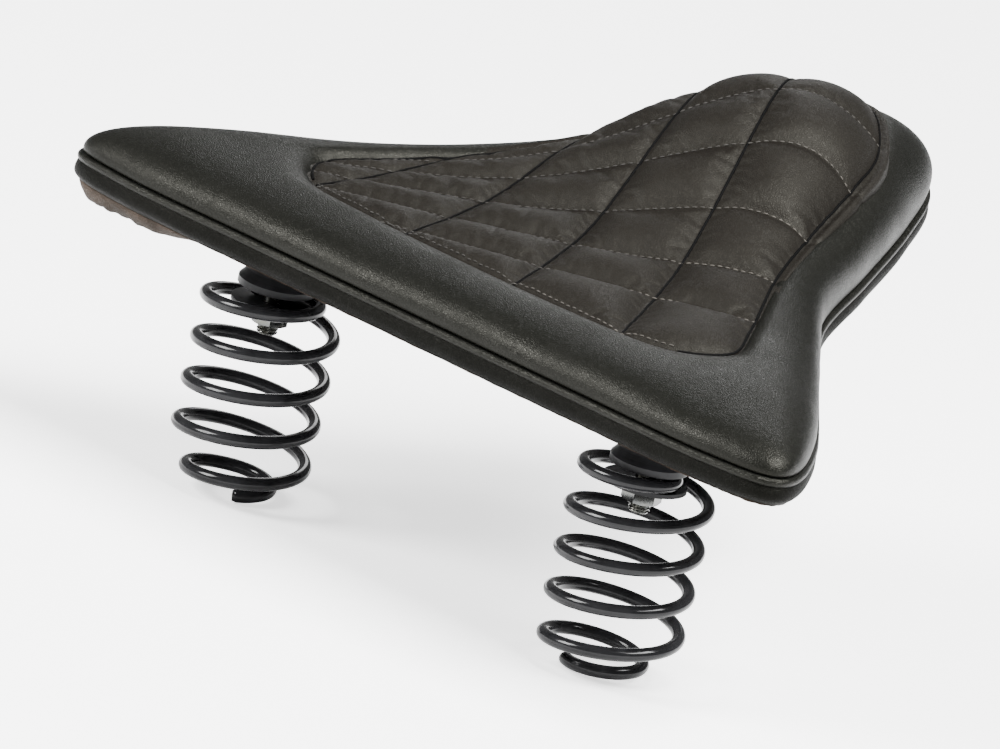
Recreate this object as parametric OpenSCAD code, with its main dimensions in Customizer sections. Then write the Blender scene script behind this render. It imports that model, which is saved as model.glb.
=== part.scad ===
// Sprung solo motorcycle seat: a padded, quilted saddle on a steel pan that hinges at its nose
// and rides on two coil springs under its tail.
// Design axes: X to the rider's right, Y to the nose, Z up along the springs. Sizes in millimetres.
// Heights and lengths below are counted from the line through the tops of the two springs.

/* [Seat outline] */
// Widest width, across the two tail lobes
tail_w = 344; // [324:1:364]
// From the springs' line back to the tail edge
tail_back = 38; // [34:0.5:46]
// From the springs' line forward to the nose tip
nose_reach = 227; // [218:1:240]
// From the springs' line back to the widest point of the lobes
lobe_back = 26; // [22:0.5:29]
// From the springs' line forward to the waist
waist_y = 106; // [100:1:112]
// Width at the waist
waist_w = 146; // [130:1:160]
// From the nose tip back to the shoulder of the nose
nose_back = 39; // [35:0.5:43]
// Width across the nose
nose_w = 76; // [72:1:86]
// Width of the plain border at the tail
border_tail = 34; // [30:0.5:38]
// Width of the plain border at the nose
border_nose = 33; // [28:0.5:38]
// Width of the quilted insert across the lobes
insert_w = 202; // [190:1:212]

/* [Padding] */
// Height of the welt line above the springs' line, at the tail
welt_z = 29.5; // [27:0.5:34]
// How far the nose climbs above the tail
nose_rise = 38; // [32:0.5:44]
// Height of the insert seam above the welt line, at the tail
seam_h = 19; // [17:0.5:23]
// Extra seam height at the nose
seam_gain = 16; // [12:0.5:19]
// Swell of the insert over its seam, along the nose
crown_h = 34; // [28:0.5:37]
// Thickness of the quilted insert at its seam
insert_t = 10; // [7:0.5:12]
// Depth of the sewn channels
channel_d = 3.5; // [1:0.5:5]
// From a sewn line to the full height of the padding
channel_w = 14; // [10:0.5:18]
// Radius of the welt cord
welt_r = 1.8; // [1.2:0.1:2.4]
// How far the padded roll stands out past the welt
roll_out = 3; // [1:0.5:5]

/* [Pan and skirt] */
// Thickness of the steel pan
pan_t = 2; // [1.5:0.1:3]
// Thickness of the leather skirt around the pan's edge
skirt_t = 2.2; // [1.5:0.1:3]
// Height of the skirt under the welt
skirt_h = 7.3; // [6.5:0.1:9]
// Thickness of the leather folded under the pan
hem_t = 1.6; // [1:0.1:2.2]
// Width of the leather folded under the pan
hem_w = 14.5; // [12:0.5:15.5]
// Radius of a hem rivet's head
rivet_r = 2.6; // [2:0.1:3.2]
// Height of a hem rivet's head
rivet_h = 1.1; // [0.8:0.1:1.6]

/* [Springs] */
// Distance between the two springs
spring_gap = 184; // [170:1:196]
// Outer diameter of a spring
spring_od = 54; // [48:0.5:58]
// Diameter of the spring wire
wire_d = 5; // [4:0.1:5.2]
// Rise of the wire in one full turn
spring_pitch = 16.3; // [15:0.1:18]
// Full turns between the closed ends
spring_turns = 3.7; // [3:0.1:5]
// Radius of the wire's centre line at the upper eye
eye_r = 7.5; // [7:0.1:9]
// Radius of the wire's centre line at the foot
foot_r = 14; // [11:0.5:17]
// Turn of the left spring about its own axis, degrees
left_phase = 205; // [0:5:355]
// Turn of the right spring about its own axis, degrees
right_phase = 120; // [0:5:355]

/* [Spring fasteners] */
// Diameter of a spring bolt
bolt_d = 8; // [8:0.5:9]
// Width across flats of a spring bolt's head and nut
bolt_af = 13; // [12:0.5:15]
// Height of a spring bolt's head
bolt_head_h = 4.5; // [4:0.1:5.3]
// Height of a spring nut
nut_h = 6.5; // [5:0.1:8]
// Outer diameter of a spring washer, which carries the spring's eye
washer_d = 31; // [26:0.5:32]
// Thickness of a spring washer
washer_t = 1.6; // [1:0.1:2.2]
// Bolt end that shows under the nut
bolt_tail = 4; // [2:0.5:6]
// Waist diameter of a stand-off spool
spool_waist = 22; // [18:0.5:26]
// Diameter of the spool's flange under the pan
spool_top_d = 31; // [29:0.5:36]
// Diameter of the spool's flared foot
spool_foot_d = 29; // [28.5:0.5:34]
// Thickness of the spool's flanges
spool_flange = 2.5; // [2:0.1:4]
// How far the spool's waist flares out to its flanges
spool_flare = 3.5; // [1:0.5:4]

/* [Nose hinge] */
// From the nose tip back to the hinge pin
pivot_back = 62; // [56:1:68]
// From the pan's underside down to the hinge pin
pivot_drop = 15.5; // [15:0.5:18]
// From the hinge pin down to the frame face
pivot_h = 21; // [20:0.5:26]
// Diameter of the hinge pin
pivot_d = 10; // [8:0.5:10]
// Width across flats of the hinge bolt's head and nut
pivot_af = 16; // [14:0.5:17]
// Height of the hinge bolt's head
pivot_head_h = 6.4; // [5:0.1:7]
// Height of the hinge nut
pivot_nut_h = 8; // [6:0.1:9]
// Outer diameter of a hinge washer
pivot_washer_d = 20; // [18:0.5:21]
// Thickness of a hinge washer
pivot_washer_t = 2; // [1.5:0.1:2.5]
// Running clearance of the pin in its bushes, on the radius
pivot_play = 0.03; // [0.02:0.01:0.1]
// Wall of a bush
bush_wall = 2; // [1.5:0.1:2.5]
// Length of a bush
bush_len = 10; // [8:0.5:10.5]
// Outer diameter of the hinge tube
tube_d = 18; // [17:0.5:20]
// Length of the hinge tube
tube_len = 22; // [22:0.5:26]
// Side play between the hinge tube and an ear
side_play = 0.4; // [0.3:0.1:0.8]
// Thickness of an ear and of the frame plate
ear_t = 5; // [4:0.5:6]
// Radius of an ear around the pin
ear_r = 11; // [9:0.5:11.5]
// Length of the frame plate
plate_len = 38; // [34:1:44]
// Diameter of the frame bolt's hole
frame_hole_d = 10.5; // [8.5:0.1:11]
// Thickness of the nose bracket's flange
flange_t = 3; // [2.5:0.1:3.5]
// Width of the nose bracket's flange
flange_w = 28; // [26:0.5:32]
// Length of the nose bracket's flange
flange_len = 48; // [47:0.5:50]
// Thickness of the web between the flange and the tube
web_t = 13; // [10:0.5:14]
// Distance between the two nose screws
screw_gap = 35; // [34:0.5:35.5]
// Diameter of a nose screw
screw_d = 6; // [5:0.5:6]
// Width across flats of a nose nut
screw_af = 10; // [9:0.5:10]
// Diameter of a nose screw's head
screw_head_d = 12; // [10:0.5:13]
// Height of a nose screw's head
screw_head_h = 3; // [2:0.1:3.6]
// Height of a nose nut
screw_nut_h = 5; // [4:0.1:5.5]
// Outer diameter of a nose washer
screw_washer_d = 12; // [11:0.5:12.5]
// Thickness of a nose washer
screw_washer_t = 1.2; // [0.8:0.1:1.6]

/* [Hidden] */
$fn = 64;

// Clearance of a bolt in its hole, on the diameter
hole_play = 0.4;
// Small gap kept between soft pieces that only rest on each other
rest_gap = 0.3;
// Room kept around a fastener's head in the foam
pocket_gap = 0.6;
// Segments of an outline between two of its points: fine for plates, coarse for padding
fine = 5;
coarse = 3;
// Rings of the quilted insert, and sides and rings per turn of a wire
insert_rings = 17;
wire_sides = 8;
wire_steps = 14;
welt_sides = 6;
// Turns in which a spring's wire opens out from its eye, lies flat there, closes in to its foot
// and runs round the foot's small ring
eye_turns = 0.9;
eye_flat = 0.45;
foot_turns = 0.6;
ring_turns = 0.5;
// Slope left in the small ring, as a share of the pitch
foot_slope = 0.35;
// Number of rivets along half of the hem
rivets_half = 8;

// Where the points between the named places of the outline lie, as shares and as steps
tail_mid = 0.46;
tail_corner = 0.83;
tail_round = [0, 1];
lobe_turn = [-20, 40];
flank_dip = [-20, -35];
tip_share = 0.56;
tip_back = 10;
// The same for the insert seam
seam_round = [0, 4];
seam_corner = [0, 46];
seam_turn = [-11, 70];
seam_dip = [-19, -26];
seam_waist = [-19, 6];
seam_neck = [-12, -4];
seam_shoulder = [-5, -20];
seam_tip_share = 0.36;
seam_tip_back = 5;
// How far round the border's roll turns at the tail and at the nose, and the length between them
roll_arc_tail = 84;
roll_arc_nose = 40;
roll_run = 90;

// Heights of the layers, counted from the welt line
skirt_top = -welt_r;
foam_top = welt_r;
pan_low = skirt_top - skirt_h + hem_t;
pan_top = pan_low + pan_t;
hem_low = pan_low - hem_t;

// A height above every piece
tall = 2 * (welt_z + nose_rise);

// Seat outline on the rider's right, from the middle of the tail to the nose tip
waist_x = waist_w / 2;
nose_x = nose_w / 2;
tail_x = tail_w / 2;
lobe_y = -lobe_back;
nose_y = nose_reach - nose_back;
half_outline = [
    [0, -tail_back],
    [tail_x * tail_mid, -tail_back],
    [tail_x * tail_corner, -tail_back] + tail_round,
    [tail_x, lobe_y],
    [tail_x, lobe_y] + lobe_turn,
    [(tail_x + waist_x) / 2, waist_y] + flank_dip,
    [waist_x, waist_y],
    [(waist_x + nose_x) / 2, (waist_y + nose_y) / 2],
    [nose_x, nose_y],
    [nose_x * tip_share, nose_reach - tip_back],
    [0, nose_reach]
];
// Insert seam on the same side, point for point
seam_tail_y = border_tail - tail_back;
seam_nose_y = nose_reach - border_nose;
seam_x = insert_w / 2;
half_seam = [
    [0, seam_tail_y],
    [seam_x * tail_mid, seam_tail_y],
    [seam_x * tail_corner, seam_tail_y] + seam_round,
    [seam_x, lobe_y] + seam_corner,
    [seam_x, lobe_y] + seam_turn,
    [(seam_x + waist_x) / 2, waist_y] + seam_dip,
    [waist_x, waist_y] + seam_waist,
    [(waist_x + nose_x) / 2, (waist_y + nose_y) / 2] + seam_neck,
    [nose_x, nose_y] + seam_shoulder,
    [nose_x * seam_tip_share, seam_nose_y - seam_tip_back],
    [0, seam_nose_y]
];
// Middle of the insert, where its rings close
heart = [0, 62];
// Where the insert's swell starts, the length over which it grows, and how its sides and the
// seam's climb bend
crown_from = 48.5;
crown_run = 115;
crown_bend = 3.5;
seam_bend = 0.9;

// Corners of the quilted sheet on the insert: left, nose, right and tail, and its cells each way
quilt_left = [-78, 57];
quilt_nose = [19, 168];
quilt_right = [86, 50];
quilt_tail = [-90, -19];
quilt_cells = 4;
// How much closer the folds lie towards the nose
quilt_gain = 0.24;

// Climb of the welt line towards the nose: level over the springs, then bends up to one straight
// run over the hinge, and runs on past the tip
bend_y = 20;
bends = 6;
climb_bend = 1.5;
hinge_run = 26;
overrun = 10;
pivot_y = nose_reach - pivot_back;
run_start = pivot_y - hinge_run;
run_end = pivot_y + hinge_run;
line_end = nose_reach + overrun;
bend_steps = concat([for (k = [0 : bends]) bend_y + (run_start - bend_y) * k / bends],
    [run_end, (run_end + line_end) / 2, line_end]);
function climb(y) = nose_rise * pow(max(0, (y - bend_y) / (nose_reach - bend_y)), climb_bend);
welt_line = concat([[-tail_back - overrun, welt_z]], [for (y = bend_steps) [y, welt_z + climb(y)]]);
function welt_at(y) = lookup(y, welt_line);
hinge_slope = atan((welt_at(run_end) - welt_at(run_start)) / (2 * hinge_run));

// The frame face under the hinge is the origin of the part
pivot_z = welt_at(pivot_y) + pan_low - pivot_drop;
mount_z = pivot_z - pivot_h;
module placed() {
    translate([0, -pivot_y, -mount_z]) children();
}

// Closed smooth outline through half of its points, mirrored to the other side
function mirrored(half) = concat(half, [for (i = [len(half) - 2 : -1 : 1]) [-half[i][0], half[i][1]]]);
function along(p0, p1, p2, p3, t) = 0.5 * (2 * p1 + (p2 - p0) * t
    + (2 * p0 - 5 * p1 + 4 * p2 - p3) * t * t + (3 * p1 - p0 - 3 * p2 + p3) * t * t * t);
function rounded(p, seg) = let (n = len(p)) [for (i = [0 : n - 1]) for (k = [0 : seg - 1])
    along(p[(i + n - 1) % n], p[i], p[(i + 1) % n], p[(i + 2) % n], k / seg)];
function smooth(half, seg) = rounded(mirrored(half), seg);
function unit(v) = v / norm(v);
// The outline drawn in by a distance
function drawn_in(path, d) = let (n = len(path))
    [for (i = [0 : n - 1]) let (t = unit(path[(i + 1) % n] - path[(i + n - 1) % n]))
        path[i] + d * [-t[1], t[0]]];
function ease(u) = let (v = min(1, max(0, u))) v * v * (3 - 2 * v);

outline = smooth(half_outline, fine);
outline_coarse = smooth(half_outline, coarse);
seam_coarse = smooth(half_seam, coarse);

// Height of the seam above the welt line, and of the insert's surface above the springs' line
function seam_way(y) = min(1, max(0, (y - seam_tail_y) / (seam_nose_y - seam_tail_y)));
function seam_over(y) = seam_h + seam_gain * pow(seam_way(y), seam_bend);
function swell(y, share) = crown_h * ease((y - crown_from) / crown_run) * (1 - pow(share, crown_bend));
function insert_z(p, share) = welt_at(p[1]) + seam_over(p[1]) + swell(p[1], share);

// Sewn lines of the quilting, both ways across the sheet, each by two of its points
function between(a, b, t) = a + t * (b - a);
quilt_lines = [for (k = [0 : quilt_cells])
    let (t = k / quilt_cells, f = t * (1 + quilt_gain * (1 - t))) each [
    [between(quilt_left, quilt_nose, f), between(quilt_tail, quilt_right, f)],
    [between(quilt_left, quilt_tail, t), between(quilt_nose, quilt_right, t)]]];
function off_line(p, l) = let (d = unit(l[1] - l[0]), e = p - l[0]) abs(d[0] * e[1] - d[1] * e[0]);
// Drop of the surface at a point: full on a sewn line, easing to none inside a cell
function channel(p) = channel_d * (1 - ease(min([for (l = quilt_lines) off_line(p, l)]) / channel_w));

// A point on the ring at a share of the way from the heart to the seam
function ring_point(s, share) = heart + share * (s - heart);

// Faces between two rings of n points, the first starting at a and the second at b
function band_faces(a, b, n) = [for (i = [0 : n - 1]) let (j = (i + 1) % n)
    each [[a + i, b + i, a + j], [a + j, b + i, b + j]]];
function fan_faces(a, n, tip, up) = [for (i = [0 : n - 1]) let (j = (i + 1) % n)
    up ? [a + j, a + i, tip] : [a + i, a + j, tip]];

// A sheet of constant thickness that follows the welt line, between two heights over it
module layer(low, high) {
    rim = [for (p = welt_line) [p[0], p[1] + low]];
    roof = [for (i = [len(welt_line) - 1 : -1 : 0]) [welt_line[i][0], welt_line[i][1] + high]];
    translate([-tail_w, 0, 0]) rotate([90, 0, 90]) linear_extrude(2 * tail_w) polygon(concat(rim, roof));
}

// The part of a layer inside an outline
module trimmed(path, low, high) {
    intersection() {
        linear_extrude(tall) polygon(path);
        layer(low, high);
    }
}

// The two spring positions, and the hinge's place on the sloping pan
module at_springs() {
    for (side = [-1, 1]) translate([side * spring_gap / 2, 0, 0]) children();
}
module on_nose() {
    translate([0, pivot_y, welt_at(pivot_y) + pan_low]) rotate([hinge_slope, 0, 0]) children();
}
module at_nose_screws() {
    on_nose() for (end = [-1, 1]) translate([0, end * screw_gap / 2, 0]) children();
}

// Bar with flats, for bolt heads and nuts
module hexagon(across, high) {
    cylinder(d = across / cos(30), h = high, $fn = 6);
}

// Tube along a path of points, with flat ends or closed on itself
function tube_ring(path, i, closed) = let (n = len(path),
        before = path[closed ? (i + n - 1) % n : max(0, i - 1)],
        after = path[closed ? (i + 1) % n : min(n - 1, i + 1)],
        t = unit(after - before),
        side = unit(cross(t, [0, 0, 1])))
    [side, cross(side, t)];
function tube_points(path, r, sides, closed) = [for (i = [0 : len(path) - 1])
    let (f = tube_ring(path, i, closed)) for (k = [0 : sides - 1])
        path[i] + r * (cos(360 * k / sides) * f[0] + sin(360 * k / sides) * f[1])];
function tube_faces(n, sides, closed) = concat(
    [for (i = [0 : closed ? n - 1 : n - 2]) each band_faces(i * sides, ((i + 1) % n) * sides, sides)],
    closed ? [] : [for (k = [1 : sides - 2]) [0, k, k + 1]],
    closed ? [] : [for (k = [1 : sides - 2]) (n - 1) * sides * [1, 1, 1] + [0, k + 1, k]]);
module tube(path, r, sides, closed) {
    polyhedron(tube_points(path, r, sides, closed), tube_faces(len(path), sides, closed));
}

// Centre line of a spring's wire: an eye, a helix and a closing foot, from the top down
wire_r = (spring_od - wire_d) / 2;
wire_turns = eye_turns + spring_turns + foot_turns + ring_turns;
eye_z = 1.5;
function wire_out(u) = u < eye_turns ? eye_r + (wire_r - eye_r) * ease(u / eye_turns)
    : wire_r - (wire_r - foot_r) * ease((u - eye_turns - spring_turns) / foot_turns);
function eye_fall(u) = pow(max(0, u - eye_flat), 2) / (2 * (eye_turns - eye_flat));
function foot_lag(v) = pow(min(v, foot_turns), 2) / (2 * foot_turns) + max(0, v - foot_turns);
function wire_fall(u) = eye_fall(min(u, eye_turns)) + max(0, u - eye_turns)
    - (1 - foot_slope) * foot_lag(max(0, u - eye_turns - spring_turns));
function wire_point(u) = [
    wire_out(u) * cos(360 * u),
    -wire_out(u) * sin(360 * u),
    eye_z - spring_pitch * wire_fall(u)];
wire_rings = ceil(wire_turns * wire_steps);
wire_path = [for (i = [0 : wire_rings]) wire_point(wire_turns * i / wire_rings)];
// Least gap of the wire to itself, between points at least half a turn apart
wire_gaps = [for (i = [0 : wire_rings - 1]) for (j = [i + wire_steps / 2 : 1 : wire_rings])
    norm(wire_path[i] - wire_path[j]) - wire_d];
echo(least_spring_gap = min(wire_gaps));

// Heights of the spring fasteners
spool_low = eye_z + wire_d / 2 + rest_gap;
spool_high = welt_z + pan_low;
washer_top = eye_z - wire_d / 2 - rest_gap;
nut_top = washer_top - washer_t;
bolt_low = nut_top - nut_h - bolt_tail;
bolt_seat = welt_z + pan_top;

// Steel pan, drilled for the spring bolts and the nose screws
module seat_pan() color("dimgray") placed() difference() {
    trimmed(drawn_in(outline, skirt_t), pan_low, pan_top);
    at_springs() cylinder(d = bolt_d + hole_play, h = 2 * welt_z);
    at_nose_screws() translate([0, 0, -pan_t]) cylinder(d = screw_d + hole_play, h = 4 * pan_t);
}

// Firm foam on the pan, with pockets over the fastener heads
module foam_base() color("goldenrod") placed() difference() {
    trimmed(drawn_in(outline, skirt_t + rest_gap), pan_top, foam_top);
    at_springs() translate([0, 0, bolt_seat - pan_t])
        cylinder(d = bolt_af / cos(30) + 2 * pocket_gap, h = pan_t + bolt_head_h + pocket_gap);
    at_nose_screws() translate([0, 0, pan_t / 2])
        cylinder(d = screw_head_d + 2 * pocket_gap, h = pan_t / 2 + screw_head_h + pocket_gap);
}

// Soft foam that fills the middle under the quilted insert
module foam_core() color("khaki") placed() {
    n = len(seam_coarse);
    share = 0.96;
    ring = [for (s = seam_coarse) ring_point(s, share)];
    low = [for (p = ring) [p[0], p[1], welt_at(p[1]) + foam_top + rest_gap]];
    high = [for (p = ring) [p[0], p[1], insert_z(p, 1) - insert_t - rest_gap]];
    mid_ring = [for (s = seam_coarse) ring_point(s, share / 2)];
    mid_low = [for (p = mid_ring) [p[0], p[1], welt_at(p[1]) + foam_top + rest_gap]];
    mid_high = [for (p = mid_ring) [p[0], p[1], insert_z(p, 1) - insert_t - rest_gap]];
    tips = [
        [heart[0], heart[1], welt_at(heart[1]) + foam_top + rest_gap],
        [heart[0], heart[1], insert_z(heart, 1) - insert_t - rest_gap]
    ];
    polyhedron(concat(mid_low, low, high, mid_high, tips), concat(
        fan_faces(0, n, 4 * n, false), band_faces(0, n, n), band_faces(n, 2 * n, n),
        band_faces(2 * n, 3 * n, n), fan_faces(3 * n, n, 4 * n + 1, true)));
}

// Plain leather roll between the welt and the insert seam: swells outwards, then draws in to the seam
roll_steps = 8;
roll_foot = drawn_in(outline_coarse, rest_gap);
function roll_arc(y) = roll_arc_tail + (roll_arc_nose - roll_arc_tail) * ease((y - lobe_y) / roll_run);
function roll_ring(way) = [for (i = [0 : len(roll_foot) - 1])
    let (o = roll_foot[i], s = seam_coarse[i],
        arc = roll_arc(o[1]),
        inwards = (1 - cos(arc * way)) / (1 - cos(arc)),
        upwards = sin(arc * way) / sin(arc),
        p = o + inwards * (s - o) + roll_out * sin(180 * way) * unit(o - s),
        base = welt_at(o[1]) + foam_top + rest_gap,
        crest = welt_at(s[1]) + seam_over(s[1]))
    [p[0], p[1], base + upwards * (crest - base)]];
module border_roll() color("darkslategray") placed() {
    n = len(roll_foot);
    rings = [for (k = [0 : roll_steps]) each roll_ring(k / roll_steps)];
    inner = [for (s = seam_coarse) [s[0], s[1], welt_at(s[1]) + foam_top + rest_gap]];
    last = roll_steps + 1;
    polyhedron(concat(rings, inner), concat(
        [for (k = [0 : roll_steps - 1]) each band_faces(k * n, (k + 1) * n, n)],
        band_faces(roll_steps * n, last * n, n), band_faces(last * n, 0, n)));
}

// Quilted leather insert: a padded panel with sewn channels and sides drawn in under the seam
function under(s, drop) = [for (q = seam_coarse) let (p = ring_point(q, s))
    [p[0], p[1], insert_z(p, 1) - drop]];
module quilted_insert() color("darkslategray") placed() {
    n = len(seam_coarse);
    edge = 0.985;
    tuck = 0.965;
    shares = [for (k = [0 : insert_rings - 1]) edge * (1 - k / insert_rings)];
    top = [for (s = shares) for (q = seam_coarse) let (p = ring_point(q, s))
        [p[0], p[1], insert_z(p, s) - channel(p)]];
    tips = [
        [heart[0], heart[1], insert_z(heart, 1) - insert_t],
        [heart[0], heart[1], insert_z(heart, 0) - channel(heart)]
    ];
    top_at = 3 * n;
    low = concat(under(tuck / 2, insert_t), under(tuck, insert_t), under(tuck, (insert_t + channel_d) / 2));
    polyhedron(concat(low, top, tips), concat(
        fan_faces(0, n, top_at + len(top), false), band_faces(0, n, n), band_faces(n, 2 * n, n),
        band_faces(2 * n, top_at, n),
        [for (k = [0 : insert_rings - 2]) each band_faces(top_at + k * n, top_at + (k + 1) * n, n)],
        fan_faces(top_at + (insert_rings - 1) * n, n, top_at + len(top) + 1, true)));
}

// Leather-covered cord in the groove between the roll and the skirt
module edge_welt() color("black") placed() {
    path = [for (p = drawn_in(outline, rest_gap)) [p[0], p[1], welt_at(p[1])]];
    tube(path, welt_r - rest_gap / 3, welt_sides, true);
}

// Leather strip around the edge of the pan
module side_skirt() color("dimgray") placed() difference() {
    trimmed(outline, hem_low, skirt_top);
    linear_extrude(tall) polygon(drawn_in(outline, skirt_t));
}

// Leather folded under the pan
hem_edge = rounded(drawn_in(mirrored(half_outline), skirt_t + hem_w), fine);
module folded_hem() color("saddlebrown") placed() difference() {
    trimmed(drawn_in(outline, skirt_t), hem_low, pan_low);
    linear_extrude(tall) polygon(hem_edge);
}

// Rivet heads that hold the hem, square to the pan where they sit
rivet_line = (outline + hem_edge) / 2;
rivet_step = len(rivet_line) / (2 * rivets_half);
module hem_rivets() color("silver") placed() {
    for (k = [0 : 2 * rivets_half - 1]) {
        p = rivet_line[floor((k + 0.5) * rivet_step)];
        tilt = atan((welt_at(p[1] + rivet_r) - welt_at(p[1] - rivet_r)) / (2 * rivet_r));
        translate([p[0], p[1], welt_at(p[1]) + hem_low]) rotate([tilt, 0, 0])
            translate([0, 0, -rivet_h - rest_gap / 2]) cylinder(r = rivet_r, h = rivet_h);
    }
}

// Stand-off between the pan and a spring: flanged at the top, waisted, flared at the foot
module spool() {
    bore = (bolt_d + hole_play) / 2;
    low = spool_low + spool_flange;
    high = spool_high - spool_flange;
    flank = [for (t = [-1 : 0.25 : 1])
        [spool_waist / 2 + spool_flare * (1 - cos(90 * t)), (low + high) / 2 + t * (high - low) / 2]];
    rotate_extrude() polygon(concat(
        [[bore, spool_low], [spool_foot_d / 2, spool_low], [spool_foot_d / 2, low]], flank,
        [[spool_top_d / 2, high], [spool_top_d / 2, spool_high], [bore, spool_high]]));
}
module left_spool() color("black") placed() translate([-spring_gap / 2, 0, 0]) spool();
module right_spool() color("black") placed() translate([spring_gap / 2, 0, 0]) spool();

// Coil springs, both wound the same way
module spring(x, phase) {
    translate([x, 0, 0]) rotate([0, 0, phase]) tube(wire_path, wire_d / 2, wire_sides, false);
}
module left_spring() color("black") placed() spring(-spring_gap / 2, left_phase);
module right_spring() color("black") placed() spring(spring_gap / 2, right_phase);

// Bolts from the pan down through the spools and the springs' eyes
module spring_bolts() color("silver") placed() at_springs() {
    translate([0, 0, bolt_seat]) hexagon(bolt_af, bolt_head_h);
    translate([0, 0, bolt_low]) cylinder(d = bolt_d, h = bolt_seat - bolt_low + bolt_head_h / 2);
}
module spring_washers() color("black") placed() at_springs() difference() {
    translate([0, 0, nut_top]) cylinder(d = washer_d, h = washer_t);
    translate([0, 0, nut_top - washer_t]) cylinder(d = bolt_d + hole_play, h = 3 * washer_t);
}
module spring_nuts() color("silver") placed() at_springs() difference() {
    translate([0, 0, nut_top - nut_h]) hexagon(bolt_af, nut_h);
    translate([0, 0, nut_top - 2 * nut_h]) cylinder(d = bolt_d + hole_play / 2, h = 3 * nut_h);
}

// Hinge half under the nose: a flange on the pan, a web and a cross tube
tube_bore = pivot_d + 2 * pivot_play + 2 * bush_wall;
module nose_bracket() color("dimgray") placed() difference() {
    union() {
        on_nose() translate([-flange_w / 2, -flange_len / 2, -flange_t])
            cube([flange_w, flange_len, flange_t]);
        intersection() {
            translate([-tube_len / 2, pivot_y - web_t / 2, pivot_z])
                cube([tube_len, web_t, 2 * pivot_drop]);
            on_nose() translate([-tube_len, -flange_len, -2 * pivot_drop])
                cube([2 * tube_len, 2 * flange_len, 2 * pivot_drop - flange_t / 2]);
        }
        translate([-tube_len / 2, pivot_y, pivot_z]) rotate([0, 90, 0]) cylinder(d = tube_d, h = tube_len);
    }
    translate([-tube_len, pivot_y, pivot_z]) rotate([0, 90, 0]) cylinder(d = tube_bore, h = 2 * tube_len);
    at_nose_screws() translate([0, 0, -2 * flange_t]) cylinder(d = screw_d + hole_play, h = 4 * flange_t);
}

// Plain bushes in the two ends of the hinge tube
module nose_bushes() color("peru") placed() for (side = [0, 1]) mirror([side, 0, 0])
    translate([tube_len / 2 - bush_len, pivot_y, pivot_z]) rotate([0, 90, 0]) difference() {
        cylinder(d = tube_bore, h = bush_len);
        translate([0, 0, -bush_len]) cylinder(r = pivot_d / 2 + pivot_play, h = 3 * bush_len);
    }

// Screws, washers and nuts that hold the nose bracket to the pan
module nose_screws() color("silver") placed() at_nose_screws() {
    grip = pan_t + flange_t + screw_washer_t + screw_nut_h + screw_washer_t;
    translate([0, 0, pan_t]) cylinder(d = screw_head_d, h = screw_head_h);
    translate([0, 0, pan_t - grip]) cylinder(d = screw_d, h = grip + screw_head_h / 2);
}
module nose_washers() color("silver") placed() at_nose_screws()
    translate([0, 0, -flange_t - screw_washer_t]) difference() {
        cylinder(d = screw_washer_d, h = screw_washer_t);
        translate([0, 0, -screw_washer_t]) cylinder(d = screw_d + hole_play, h = 3 * screw_washer_t);
    }
module nose_nuts() color("silver") placed() at_nose_screws()
    translate([0, 0, -flange_t - screw_washer_t - screw_nut_h]) difference() {
        hexagon(screw_af, screw_nut_h);
        translate([0, 0, -screw_nut_h]) cylinder(d = screw_d + hole_play / 2, h = 3 * screw_nut_h);
    }

// Hinge half on the motorcycle's frame: a plate with two ears
ear_in = tube_len / 2 + side_play;
ear_out = ear_in + ear_t;
module pivot_base() color("dimgray") placed() translate([0, pivot_y, pivot_z]) difference() {
    union() {
        translate([-ear_out, -plate_len / 2, -pivot_h]) cube([2 * ear_out, plate_len, ear_t]);
        for (x = [-ear_out, ear_in]) translate([x, 0, 0]) rotate([90, 0, 90]) linear_extrude(ear_t) {
            circle(r = ear_r);
            translate([-ear_r, -pivot_h]) square([2 * ear_r, pivot_h]);
        }
    }
    translate([-2 * ear_out, 0, 0]) rotate([0, 90, 0])
        cylinder(d = pivot_d + hole_play / 2, h = 4 * ear_out);
    translate([0, 0, -pivot_h - ear_t]) cylinder(d = frame_hole_d, h = 3 * ear_t);
}

// Hinge pin: a bolt across the ears, with washers and a nut
pivot_end = ear_out + pivot_washer_t;
module pivot_bolt() color("silver") placed() translate([0, pivot_y, pivot_z]) rotate([0, -90, 0]) {
    translate([0, 0, -pivot_end - pivot_head_h]) hexagon(pivot_af, pivot_head_h);
    reach = 2 * pivot_end + pivot_nut_h + bolt_tail;
    translate([0, 0, -pivot_end - pivot_head_h / 2]) cylinder(d = pivot_d, h = reach + pivot_head_h / 2);
}
module pivot_washers() color("silver") placed() translate([0, pivot_y, pivot_z])
    for (x = [-pivot_end, ear_out]) translate([x, 0, 0]) rotate([0, 90, 0]) difference() {
        cylinder(d = pivot_washer_d, h = pivot_washer_t);
        translate([0, 0, -pivot_washer_t]) cylinder(d = pivot_d + hole_play, h = 3 * pivot_washer_t);
    }
module pivot_nut() color("silver") placed() translate([-pivot_end, pivot_y, pivot_z]) rotate([0, -90, 0])
    difference() {
        hexagon(pivot_af, pivot_nut_h);
        translate([0, 0, -pivot_nut_h]) cylinder(d = pivot_d + hole_play / 2, h = 3 * pivot_nut_h);
    }

seat_pan();
foam_base();
foam_core();
border_roll();
quilted_insert();
edge_welt();
side_skirt();
folded_hem();
hem_rivets();
left_spool();
right_spool();
left_spring();
right_spring();
spring_bolts();
spring_washers();
spring_nuts();
nose_bracket();
nose_bushes();
nose_screws();
nose_washers();
nose_nuts();
pivot_base();
pivot_bolt();
pivot_washers();
pivot_nut();
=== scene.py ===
"""Sprung solo motorcycle seat: leather, quilting, springs and fittings on the packed frame."""

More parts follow.
